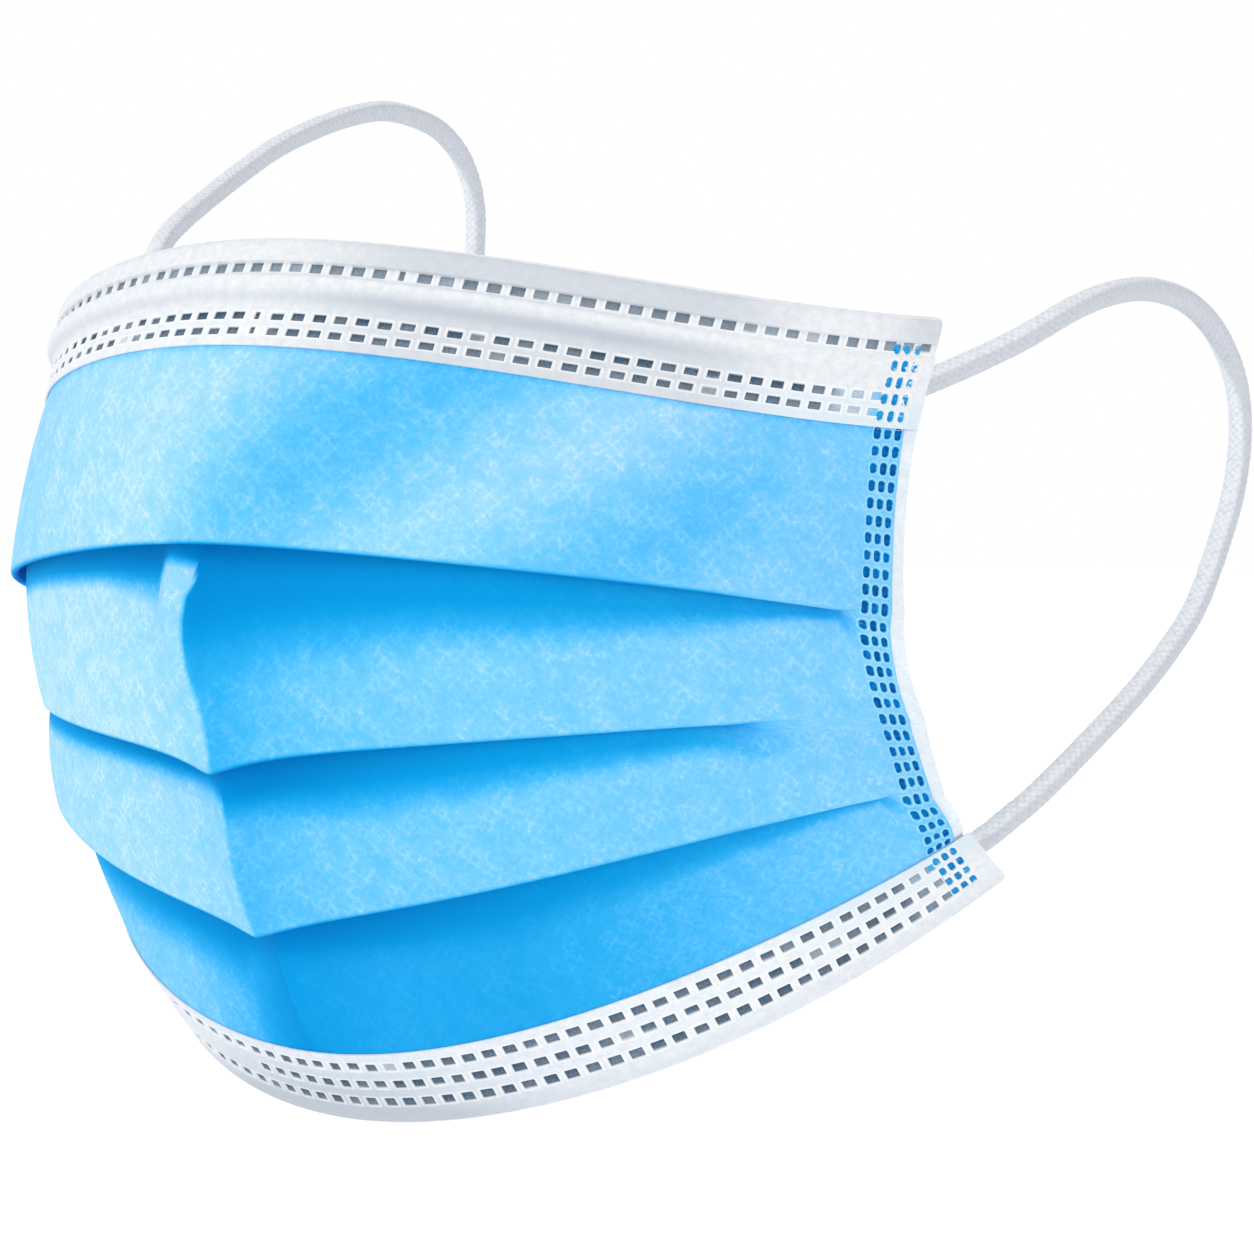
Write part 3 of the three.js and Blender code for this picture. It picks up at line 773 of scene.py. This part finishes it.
def top_shade(s, v):
    """The painted shade of the top binding: on the hem, in a shadow under its edge, and down the lower slope
    of the nose wire's channel.

    Places are in mm, and the other numbers tell how grey each part is, from 0 to 1.
    """
    turned = between(s, (5, 28), (58, 72))
    hem = (0.04 + 0.62 * turned + 0.55 * ease(78, 86, s)) * (v < HEM)
    under_hem = 0.8 * np.exp(-np.clip(v - HEM, 0, None) / 0.35) * (v > HEM)
    slope = bell(v, RIDGE["end"] - 0.7, 0.75) * ridge_height(RIDGE["full"], s)
    plain = 0.55 * turned * ease(RIDGE["fall"] - 1, RIDGE["end"] - 1, v)
    return np.clip(hem + under_hem + 0.5 * slope + plain, 0, 1)


def bottom_shade(s, v):
    """Painted shade toward the bottom edge, deepest in the middle, where it turns under."""
    middle = bell(s, -1, 22)
    edge = (0.25 + 0.6 * middle) * (1 - ease(0.4, 4.5, v))
    return np.clip(edge + 0.9 * middle * (1 - ease(4, 13, v)), 0, 1)


def strip_profile(place, marks):
    """A binding's section, from the end of its leg over the free edge to the end of its front.

    Returns which of its lines are on the front, and for the outer and the inner wall how far each line is
    from the free edge and how deep it lies.
    """
    thickness = 3 * LAYER + PLY
    crown = thickness / 2
    front_v = lines_between(crown, BAND[place], FRONT_SPACING, marks)
    leg_v = lines_between(crown, LEG[place], LEG_SPACING)[::-1]
    arc = np.linspace(0, np.pi, CROWN_LINES)[1:-1]

    def joined(on_leg, on_crown, on_front):
        return np.concatenate([on_leg + 0 * leg_v, on_crown, on_front + 0 * front_v])

    walls = []
    for inset in (0, PLY):
        radius = crown - inset
        walls.append((joined(leg_v, crown - radius * np.sin(arc), front_v),
                      joined(thickness - inset, crown + radius * np.cos(arc), inset)))
    return joined(0, 0 * arc, 1), *walls


def top_relief(s, v):
    """How far the hem and the ridge over the nose wire stand out.

    The hem's fold is thickest along its lower edge and runs out at the crown and at both ends.
    """
    turned = between(v, (-0.2, 1.4), (HEM - 0.1, HEM + 0.03))
    thin = HEM_END["thinner"] * ease(*HEM_END["places"], np.abs(s))
    return HEM_RISE * turned * (1 - thin) + ridge_height(v, s)


def binding(place):
    """A strip of white cloth folded over the top or bottom edge of the mask and welded through it."""
    hem = place == "top"
    half_width = HALF_WIDTH + OVERHANG[place]
    centres, halves = weld_marks(ROWS[place])
    marks = [HEM + step for step in HEM_LINES] if hem else []
    for row in ROWS[place]:
        marks += marks_over(row["place"], row["height"] / 2, *ROW_MARKS)
    on_front, (v, depth), (inner_v, inner_depth) = strip_profile(place, marks)
    s = binding_columns(centres, halves, half_width, v, ROWS[place])
    press, rims, tone, high = binding_welds(s, v, centres, halves, ROWS[place])
    before_end = v - BAND[place]
    run = np.broadcast_to(np.minimum(before_end, 0) / SIDE_WELD["pitch"] + FIRST_WELD, s.shape)
    side = np.broadcast_to(on_front * (v > SIDE_START[place]), s.shape) * SIDE_MARK[place]
    side_press, side_rims = side_relief(s, run)
    press = np.maximum(press, side_press * side * SIDE_PRESS)
    rims = np.maximum(rims, side_rims * side * SIDE_PRESS)
    grey = press * ((np.abs(s) < SIDE_COLUMNS[0] - GREY["short"]) | (v < HEM + GREY["past_hem"]) & hem)
    cover = on_front * ease(*UNDER_HEM, v - HEM) if hem else on_front
    press, grey, rims = press * cover, grey * cover, rims * cover
    if hem:
        s = leaned(s, run) - (leaned(s, run) - s) * ease(*LEAN_END, np.abs(s))
    s = round_corner(s, v, half_width)
    raised = top_relief(s, v) * on_front if hem else 0.0
    edge, inner, down, inward = (g.reshape(*s.shape, 3) for g in band_frame(place, s.ravel()))
    sign = 1 if hem else -1
    down = down * sign * np.linalg.norm(inner - edge, axis=-1, keepdims=True) / BAND[place]
    outer_depth = depth - raised + press * WELD["depth"] - rims * RIM["height"]
    inner_at = np.maximum(inner_depth - raised, outer_depth + PLY * LEAST_PLY)
    inner_at = np.where(on_front > 0, inner_at, inner_depth)
    walls = [edge + down * far[:, None] + inward * deep[..., None]
             for far, deep in ((v, outer_depth), (inner_v, inner_at))]
    along = np.concatenate([[0], np.cumsum(np.hypot(np.diff(v), np.diff(depth)))])
    uv = np.stack(np.broadcast_arrays(s, along), -1) / 100
    showing = (v > THROUGH["below_hem"]) if hem else THROUGH["bottom"]
    front_only = {
        "weld": grey,
        "rim": rims,
        "side": side,
        "through": ease(*THROUGH["side"], np.abs(s) - half_width) * showing,
        "shade": (top_shade if hem else bottom_shade)(s, v) * on_front,
        "tint": ease(*TINT["side"], np.abs(s)) * ease(*TINT["band"], before_end),
    }
    # high is turned over on the bottom binding, so that the painted shadow lies on each weld's upper part
    fields = {**front_only, "tone": tone, "high": high if hem else 1 - high, "run": run}
    *walls, uv = (grid[::sign] for grid in (*walls, uv))
    fields = {key: values[::sign] for key, values in fields.items()}
    return closed_sheet(f"{place}_binding_cloth", *walls, uv, fields, front_only)


def make_wire():
    """The flat plastic-covered nose wire, with rounded edges, in its channel."""
    s = lines_between(-WIRE_HALF_LENGTH, WIRE_HALF_LENGTH, WIRE["spacing"])
    edge, _, down, inward = band_frame("top", s)
    angles = np.linspace(0, 2 * np.pi, WIRE["sides"], endpoint=False)
    x, y = (np.sign(turn) * np.abs(turn) ** power * half for turn, power, half in (
        (np.cos(angles), 0.5, WIRE["half_width"]),
        (np.sin(angles), 0.7, WIRE["half_thickness"]),
    ))
    middle = edge + down * (RIDGE["full"] + RIDGE["fall"]) / 2 - inward * WIRE["seat"]
    from_end = np.minimum(np.arange(len(s)), np.arange(len(s))[::-1])
    size = np.minimum(1.0, WIRE["end"] + (1 - WIRE["end"]) * from_end / 2)[:, None, None]
    rings = middle[:, None] + x[:, None] * size * down[:, None] + y[:, None] * size * inward[:, None]
    return closed_tube("nose_wire_strip", rings)


# ------------ ear loops


def braid(marks, angles):
    """The knit's stitches over a cord's surface, from 0 to 1: crossing strands, softened by random bumps."""
    along = marks[:, None] / BRAID["length"] * np.pi
    round_ = angles[None, :] * BRAID["strands"] / 2
    wander = rng.normal(0, 1, (len(marks), len(angles)))
    for axis in (0, 1):
        wander = (np.roll(wander, 1, axis) + 2 * wander + np.roll(wander, -1, axis)) / 4
    wander = wander / wander.std()
    stitch = np.abs(np.cos(along + round_) * np.cos(along - round_)) ** BRAID["top"]
    bumps = 0.5 + wander / BRAID["calm"]
    return np.clip(BRAID["share"] * stitch + (1 - BRAID["share"]) * bumps, 0, 1)


def make_loop(name, route):
    """A round knitted elastic cord whose ends are pressed flat onto the cloth inside the corners."""
    path = catmull(route, ROUTE_STEPS)
    along = lengths_along(path)
    marks = np.linspace(0, along[-1], int(along[-1] / CORD_STEP))
    path = np.stack([np.interp(marks, along, path[:, k]) for k in range(3)], -1)
    corner = np.array([math.copysign(SEAT["place"], route[0][0])])
    start, finish = (1 - ease(*SEAT["flat"], far) for far in (marks, marks[-1] - marks))
    walls = []
    for share, tip, place in ((start, path[0], "top"), (finish, path[-1], "bottom")):
        edge, _, _, wall = band_frame(place, corner)
        depth = (tip - edge[0]) @ wall[0]
        path = path - wall * share[:, None] * (depth - SEAT["depth"])
        walls.append(wall[0])
    end = np.maximum(start, finish)
    tangent = unit(np.gradient(path, axis=0))
    normal = np.cross(tangent[0], [0, 0, 1.0])
    angles = np.linspace(0, 2 * np.pi, CORD_SIDES, endpoint=False)
    height = braid(marks, angles)
    lit = np.empty_like(height)
    rings = []
    for i in range(len(marks)):
        normal = unit(normal - tangent[i] * (normal @ tangent[i]))
        binormal = np.cross(tangent[i], normal)
        around = np.outer(np.cos(angles), normal) + np.outer(np.sin(angles), binormal)
        # painted light on the side of the cord toward the light, painted shade on the other
        lit[i] = ease(*CORD_LIGHT["range"], around @ CORD_LIGHT["toward"])
        knitted = BRAID["rise"] * height[i] * (1 - FLATTENED["smoother"] * end[i])
        off = (CORD_DIAMETER / 2 * (BRAID["core"] + knitted))[:, None] * around
        wall = walls[0] if start[i] > finish[i] else walls[1]
        flat = (off @ wall)[:, None] * wall
        pressed_flat = FLATTENED["wider"] * (off - flat) - FLATTENED["thinner"] * flat
        rings.append(path[i] + off + end[i] * pressed_flat)
    round_ = angles * CORD_DIAMETER / 2
    uv = np.stack(np.broadcast_arrays(marks[:, None], round_), -1) / 100
    piece = closed_tube(name, np.array(rings), {"knit": height, "lit": lit}, uv.reshape(-1, 2))
    return piece, path, float(marks[-1])


# ------------ materials

# How a side weld looks: how much shorter the shortest is, how soft its edge is, and where its rim lies.
WELD_LOOK = dict(shorter=0.16, blur=(0.05, -0.05), rim=0.17, rim_blur=(0.17, 0.04))


class Value:
    """A shader value, with which sums and products can be written as in plain Python."""

    def __init__(self, nodes, socket):
        self.nodes = nodes
        self.socket = socket

    def math(self, operation, other=None):
        return self.nodes.add("Math", self, other, operation=operation)

    __abs__ = partialmethod(math, "ABSOLUTE")
    __add__ = partialmethod(math, "ADD")
    __sub__ = partialmethod(math, "SUBTRACT")
    __mul__ = partialmethod(math, "MULTIPLY")
    __truediv__ = partialmethod(math, "DIVIDE")

    def __rsub__(self, other):
        return self.nodes.add("Math", other, self, operation="SUBTRACT")

    def clamped(self):
        """The value kept from 0 to 1, by the node that makes it."""
        self.socket.node.use_clamp = True
        return self


class Nodes:
    """Short ways to add shader nodes to a material or to the world."""

    def __init__(self, name, kind="materials", shader="Principled BSDF"):
        self.owner = getattr(bpy.data, kind).new(name)
        self.owner.use_nodes = True
        self.tree = self.owner.node_tree
        self.shader = self.tree.nodes[shader]

    def fill(self, socket, value):
        if isinstance(value, Value):
            self.tree.links.new(value.socket, socket)
        elif value is not None:
            socket.default_value = value

    def add(self, kind, *inputs, output=0, **values):
        """Adds a node and returns one of its outputs.

        Inputs fill its first sockets in their order. Values are its settings, or sockets by their names.
        """
        node = self.tree.nodes.new(f"ShaderNode{kind}")
        for key, value in values.items():
            if hasattr(node, key):
                setattr(node, key, value)
            else:
                self.fill(node.inputs[key.replace("_", " ")], value)
        for socket, value in zip(node.inputs, inputs):
            self.fill(socket, value)
        return Value(self, node.outputs[output])

    def field(self, name):
        return self.add("Attribute", attribute_name=name, output="Fac")

    def ramp(self, value, low, high):
        return self.add("MapRange", Value=value, From_Min=low, From_Max=high)

    def mix(self, factor, a, b):
        unused = [None] * 5  # the sockets of the other kinds of mix
        return self.add("Mix", factor, *unused, a, b, data_type="RGBA", output=2)

    def tinted(self, colour, *layers):
        """A colour with others laid over it, each with how much of it shows."""
        for factor, over in layers:
            colour = self.mix(factor, colour, over)
        return colour

    def colours(self, value, stops):
        """A smooth run of colours over stops, each a place from 0 to 1 and a colour."""
        run = self.add("ValToRGB", value)
        elements = run.socket.node.color_ramp.elements
        elements.remove(elements[1])
        for k, (place, colour) in enumerate(stops):
            element = elements.new(place) if k else elements[0]
            element.position = place
            element.color = colour
        return run

    def cloth_place(self, size, turn=0.0):
        """The cloth's own coordinates, turned by turn degrees and counted in sizes of so many mm."""
        along, down = size if isinstance(size, tuple) else (size, size)
        uv = self.add("UVMap", uv_map="cloth")
        return self.add("Mapping", Vector=uv, vector_type="TEXTURE", Rotation=(0, 0, math.radians(turn)),
                        Scale=(along / 100, down / 100, 1))

    def noise(self, size, turn=0.0, detail=2.0, roughness=0.5, between=None, output="Fac"):
        """Soft noise about 0.5, with features of about size mm, ramped from 0 to 1 between two values."""
        noise = self.add("TexNoise", Vector=self.cloth_place(size, turn), Scale=1.0, Detail=detail,
                         Roughness=roughness, output=output)
        return self.ramp(noise, *between) if between else noise

    def fibres(self, length, width, turns):
        """Thin light threads lying in several directions. Sizes are in mm."""
        first, *others = [self.noise((length, width), turn, 1.0, between=(0.56, 0.72)) for turn in turns]
        for other in others:
            first = first.math("MAXIMUM", other)
        return first

    def net(self, size, width, uneven, curl):
        """A loose net of threads round diamond cells of about size mm, from 0 to 1 on the threads."""
        warp = self.noise(size * 1.1, output="Color")
        diamonds = self.cloth_place(size, 45)
        place = self.add("VectorMath", warp, (curl, curl, 0), diamonds, operation="MULTIPLY_ADD")
        cells = self.add("TexVoronoi", feature="DISTANCE_TO_EDGE", Vector=place, Scale=1.0, Randomness=uneven,
                         output="Distance")
        return (1.0 - self.ramp(cells, 0.0, width)) * self.noise(size * 2.5, between=(0.38, 0.62))

    def random(self, *parts):
        """A random value from 0 to 1 for each set of whole numbers."""
        place = self.add("CombineXYZ", *(part + 0.5 for part in parts))
        return self.add("TexWhiteNoise", Vector=place, output="Value")

    def side_welds(self):
        """Over the side welds: 1 in a weld, 1 on its rim, how near its ends, a random value, its column."""
        s = self.add("SeparateXYZ", self.add("UVMap", uv_map="cloth")) * 100.0
        across = (abs(s) - (SIDE_COLUMNS[0] - SIDE_STEP / 2)) / SIDE_STEP
        run = self.field("run")
        column = across.math("FLOOR")
        value = self.random(column, run.math("FLOOR"), s.math("SIGN"))
        a = (across.math("FRACT") - 0.5) * SIDE_STEP
        b = (run.math("FRACT") - 0.5) * SIDE_WELD["pitch"]
        half = SIDE_WELD["length"] / 2 - value * WELD_LOOK["shorter"]
        radius = SIDE_WELD["round"]
        qa = abs(a) - (SIDE_WELD["width"] / 2 - radius)
        qb = abs(b) - (half - radius)
        outside = qa.math("MAXIMUM", 0.0).math("POWER", 2.0) + qb.math("MAXIMUM", 0.0).math("POWER", 2.0)
        d = outside.math("SQRT") + qa.math("MAXIMUM", qb).math("MINIMUM", 0.0) - radius
        inside = column.math("GREATER_THAN", -0.5) * column.math("LESS_THAN", len(SIDE_COLUMNS) - 0.5)
        weld = self.ramp(d, *WELD_LOOK["blur"]) * inside
        edge = self.ramp(abs(d - WELD_LOOK["rim"]), *WELD_LOOK["rim_blur"]) * inside
        return weld, edge, abs(b) / (SIDE_WELD["length"] / 2), value, column

    def shade(self, **inputs):
        """Fills the shader's own sockets."""
        for key, value in inputs.items():
            self.fill(self.shader.inputs[key.replace("_", " ")], value)
        return self.owner

    def finish(self, colour, roughness, specular=0.05, **inputs):
        return self.shade(Base_Color=colour, Roughness=roughness, Specular_IOR_Level=specular, **inputs)

    def bump(self, height, strength, distance):
        return self.add("Bump", Height=height, Strength=strength, Distance=distance * MM)


def rgb(r, g, b):
    """A colour given as 0 to 255 values on a screen, in the renderer's linear units."""
    return *(((c / 255 + 0.055) / 1.055) ** 2.4 if c > 10 else c / 255 / 12.92 for c in (r, g, b)), 1


# The blue from its deepest painted shade, at 0, to its palest painted light, at 1: saturated in the shade and
# whiter in the light.
BLUES = (
    (0.0, rgb(0, 128, 203)),
    (0.09, rgb(2, 142, 212)),
    (0.18, rgb(8, 154, 221)),
    (0.36, rgb(46, 172, 235)),
    (0.54, rgb(93, 190, 245)),
    (0.72, rgb(128, 203, 248)),
    (0.9, rgb(164, 216, 250)),
    (1.0, rgb(188, 226, 251)),
)


def blue_cloth():
    """Blue spunbond: light fibres over a blue that is painted lighter in the light and deeper in the shade of
    the folds, and deeper blue where the welds press it thin.
    """
    m = Nodes("blue_spunbond")
    threads = m.fibres(1.3, 0.2, (30, 60, 100, 125, 150))
    lattice = m.net(1.3, 0.25, 0.3, 0.5) * m.noise(1.0, 15, 1.0, between=(0.3, 0.55))
    curls = m.net(0.72, 0.38, 1.0, 1.1) * m.noise(0.65, 50, 1.0, between=(0.35, 0.6))
    cloud = m.noise(3.2, 0, 5.0, 0.62)
    grain = m.noise(0.22, 0, 1.0)
    pattern = lattice * 0.15 + curls * 0.17 + threads * 0.05 + cloud * 0.26 + grain * 0.16 - 0.31
    # the painted light and shade laid on the cloth, with the texture fading out in the deepest painted shade
    light = m.field("light")
    level = ((light + pattern * m.ramp(light, 0.1, 0.7)) * 0.9).clamped()
    weld, edge, ends, value, _ = m.side_welds()
    patch = m.noise(0.6, 20, 3.0, 0.7, between=(0.38, 0.62))
    pale = (value * 0.5 + patch * 0.6 - ends * 0.45).clamped()
    floor = m.mix(pale, rgb(0, 86, 158), rgb(0, 136, 212))
    colour = m.tinted(m.colours(level, BLUES), (edge * 0.75, rgb(160, 224, 253)), (weld, floor))
    return m.finish(colour, 0.9, Normal=m.bump(threads + (lattice + curls), 0.25, 0.05))


def white_cloth():
    """White spunbond: faint fibres, painted soft grey shade, and grey welds pressed through to film."""
    m = Nodes("white_spunbond")
    threads = m.fibres(1.6, 0.22, (20, 65, 105, 155))
    cloud = m.noise(1.3, 0, 4.0, 0.6)
    hatch = m.noise((0.5, 0.16), 35, 2.0, 0.6, between=(0.36, 0.64))
    # the grey of the welds' film, with a painted shadow over the upper part of each weld
    shade = (m.field("tone") * 0.7 + hatch * 0.25 + m.field("high") * -0.3 + 0.1).clamped()
    grey = m.mix(shade, rgb(62, 86, 107), rgb(172, 184, 195))
    pale = m.mix(hatch, rgb(160, 186, 208), rgb(204, 215, 224))
    colour = m.tinted(
        m.mix(m.ramp(cloud, 0.3, 0.7), rgb(218, 223, 229), rgb(236, 239, 242)),
        (threads * 0.35, rgb(247, 248, 250)),
        (m.field("tint") * 0.7, rgb(212, 228, 239)),
        # painted shade of the bindings, from top_shade and bottom_shade
        (m.field("shade") * 0.8, rgb(178, 185, 196)),
        # a painted highlight on the rim squeezed up round each weld
        (m.field("rim") * 0.7, rgb(252, 253, 254)),
        (m.ramp(m.field("weld"), 0.3, 0.75), m.mix(m.field("through"), grey, pale)),
    )
    weld, _, _, value, column = m.side_welds()
    side = m.field("side")
    crumbled = 1.0 - m.ramp(side, 0.85, 0.95)
    broken = column.math("GREATER_THAN", 1.5) * (crumbled * 0.14) + 0.34
    keep = m.noise(0.55, 30, 2.0, 0.6).math("GREATER_THAN", broken)
    patch = m.noise(0.5, 20, 3.0, 0.7, between=(0.36, 0.64))
    film = m.mix(value * 0.5 + patch * 0.5, rgb(0, 112, 190), rgb(60, 184, 240))
    colour = m.mix(weld * keep * m.ramp(side, 0.4, 0.6), colour, film)
    return m.finish(colour, 0.88, Normal=m.bump(threads + cloud, 0.25, 0.05))


def lining_cloth():
    """The lining: a bluish white nonwoven, with the blue of the side welds showing through it."""
    m = Nodes("lining_nonwoven")
    threads = m.fibres(1.8, 0.25, (25, 70, 115, 160))
    cloud = m.noise(1.8, 0, 4.0, 0.6)
    weld, *_ = m.side_welds()
    colour = m.tinted(
        m.mix(m.ramp(cloud, 0.3, 0.7), rgb(216, 227, 236), rgb(234, 241, 246)),
        (threads * 0.3, rgb(248, 251, 254)),
        (m.noise(0.35, 0, 1.0, between=(0.55, 0.7)) * 0.35, rgb(196, 212, 226)),
        (weld * 0.9, rgb(150, 196, 232)),
    )
    return m.finish(colour, 0.9, Normal=m.bump(threads + cloud, 0.25, 0.05))


def elastic():
    """Knitted elastic: light stitches over greyer gaps, which are partly painted shade, and smoother and
    greyer on its side away from the light, which is painted shade.
    """
    m = Nodes("knitted_elastic")
    grain = m.noise(0.3, 0, 2.0, 0.6, between=(0.36, 0.64))
    light = (m.ramp(m.field("knit"), 0.2, 0.65) * 0.75 + grain * 0.25).clamped()
    # lit and shaded colours of the knit, mixed by the painted light in lit
    upper = m.mix(light, rgb(208, 213, 221), rgb(237, 240, 245))
    lower = m.mix(light, rgb(192, 196, 205), rgb(206, 210, 218))
    return m.finish(m.mix(m.field("lit"), lower, upper), 0.9, Normal=m.bump(grain, 0.3, 0.08))


def wire_plastic():
    """Plain white plastic."""
    return Nodes("wire_plastic").finish(rgb(242, 243, 241), 0.45)


def give(piece, material):
    piece.data.materials.clear()
    piece.data.materials.append(material)


# ------------ stage and light

WHITE = (1, 1, 1, 1)
FLOOR_GREY = (0.62, 0.62, 0.62, 1)
FLOOR_DROP = 1.2  # from the lowest line of the cloth to the floor
FLOOR_REACH = 4000
WORLD_LIGHT = 0.85
LAMP_AIM = Vector((0.0, 0.02, -0.05))  # in metres, as the lamps' places and sizes are


def make_stage():
    """A wide pale floor just under the mask, which glows a little so that it stays pale."""
    z = LINES["bottom"]["z"] - FLOOR_DROP
    reach = FLOOR_REACH
    corners = np.array([(-reach, -reach, z), (reach, -reach, z), (reach, reach, z), (-reach, reach, z)])
    floor = make_mesh("floor", corners, [(0, 1, 2, 3)])
    m = Nodes("pale_floor")
    seen = m.add("LightPath", output="Is Camera Ray")
    give(floor, m.finish(FLOOR_GREY, 1.0, 0.0, Emission_Color=WHITE, Emission_Strength=seen * 0.1 + 0.55))


def area_light(name, place, size, power):
    data = bpy.data.lights.new(name, "AREA")
    data.shape = "DISK"
    data.size = size
    data.energy = power
    lamp = link(bpy.data.objects.new(name, data))
    lamp.location = place
    lamp.rotation_euler = (LAMP_AIM - lamp.location).to_track_quat("-Z", "Y").to_euler()


def make_light():
    """An even white world, seen as plain white, and two soft lamps."""
    m = Nodes("studio", "worlds", "Background")
    seen = m.add("LightPath", output="Is Camera Ray")
    bpy.context.scene.world = m.shade(Color=WHITE, Strength=seen * (1 - WORLD_LIGHT) + WORLD_LIGHT)
    area_light("key", (-0.5, -0.85, 0.5), 0.5, 2.2)
    area_light("fill", (1.0, -0.75, 0.1), 0.8, 2.4)
    settings = bpy.context.scene.view_settings
    settings.view_transform = "Standard"
    settings.look = "None"


# ------------ the whole


def stand_for(piece, node, look):
    """Ties a piece to the CAD's one body, in place of one of its nodes, and gives it its material."""
    give(piece, look)
    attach(piece, "root")
    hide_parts(node)


def main():
    make_camera()
    routes = {"left": LOOP_LEFT_ROUTE, "right": LOOP_RIGHT_ROUTE}
    cords = {side: make_loop(f"ear_loop_{side}_cord", route) for side, route in routes.items()}
    outer = make_ply("outer_ply_cloth", HALF_WIDTH - SIDE_MARGIN, OUTER_SKIP, True, OUTER_WALLS,
                     ("run", "light"))
    lining = make_ply("inner_ply_cloth", HALF_WIDTH + LINING_OVERHANG, LINING_SKIP, False, LINING_WALLS,
                      ("run",))
    top = binding("top")
    bottom = binding("bottom")
    wire = make_wire()
    white = white_cloth()
    cord_look = elastic()
    for side, (piece, path, length) in cords.items():
        stand_for(piece, f"ear_loop_{side}", cord_look)
        tuple(path[0] * MM)
        round(length * MM, 3)
        (path[::6] * MM).tolist()
    for piece, node, slot, look in (
        (outer, "outer_ply", "outer_ply", blue_cloth()),
        (lining, "inner_ply", "inner_ply", lining_cloth()),
        (top, "top_binding", "binding", white),
        (bottom, "bottom_binding", "binding", white),
        (wire, "nose_wire", "nose_wire", wire_plastic()),
    ):
        stand_for(piece, node, look)
    make_stage()
    make_light()


main()
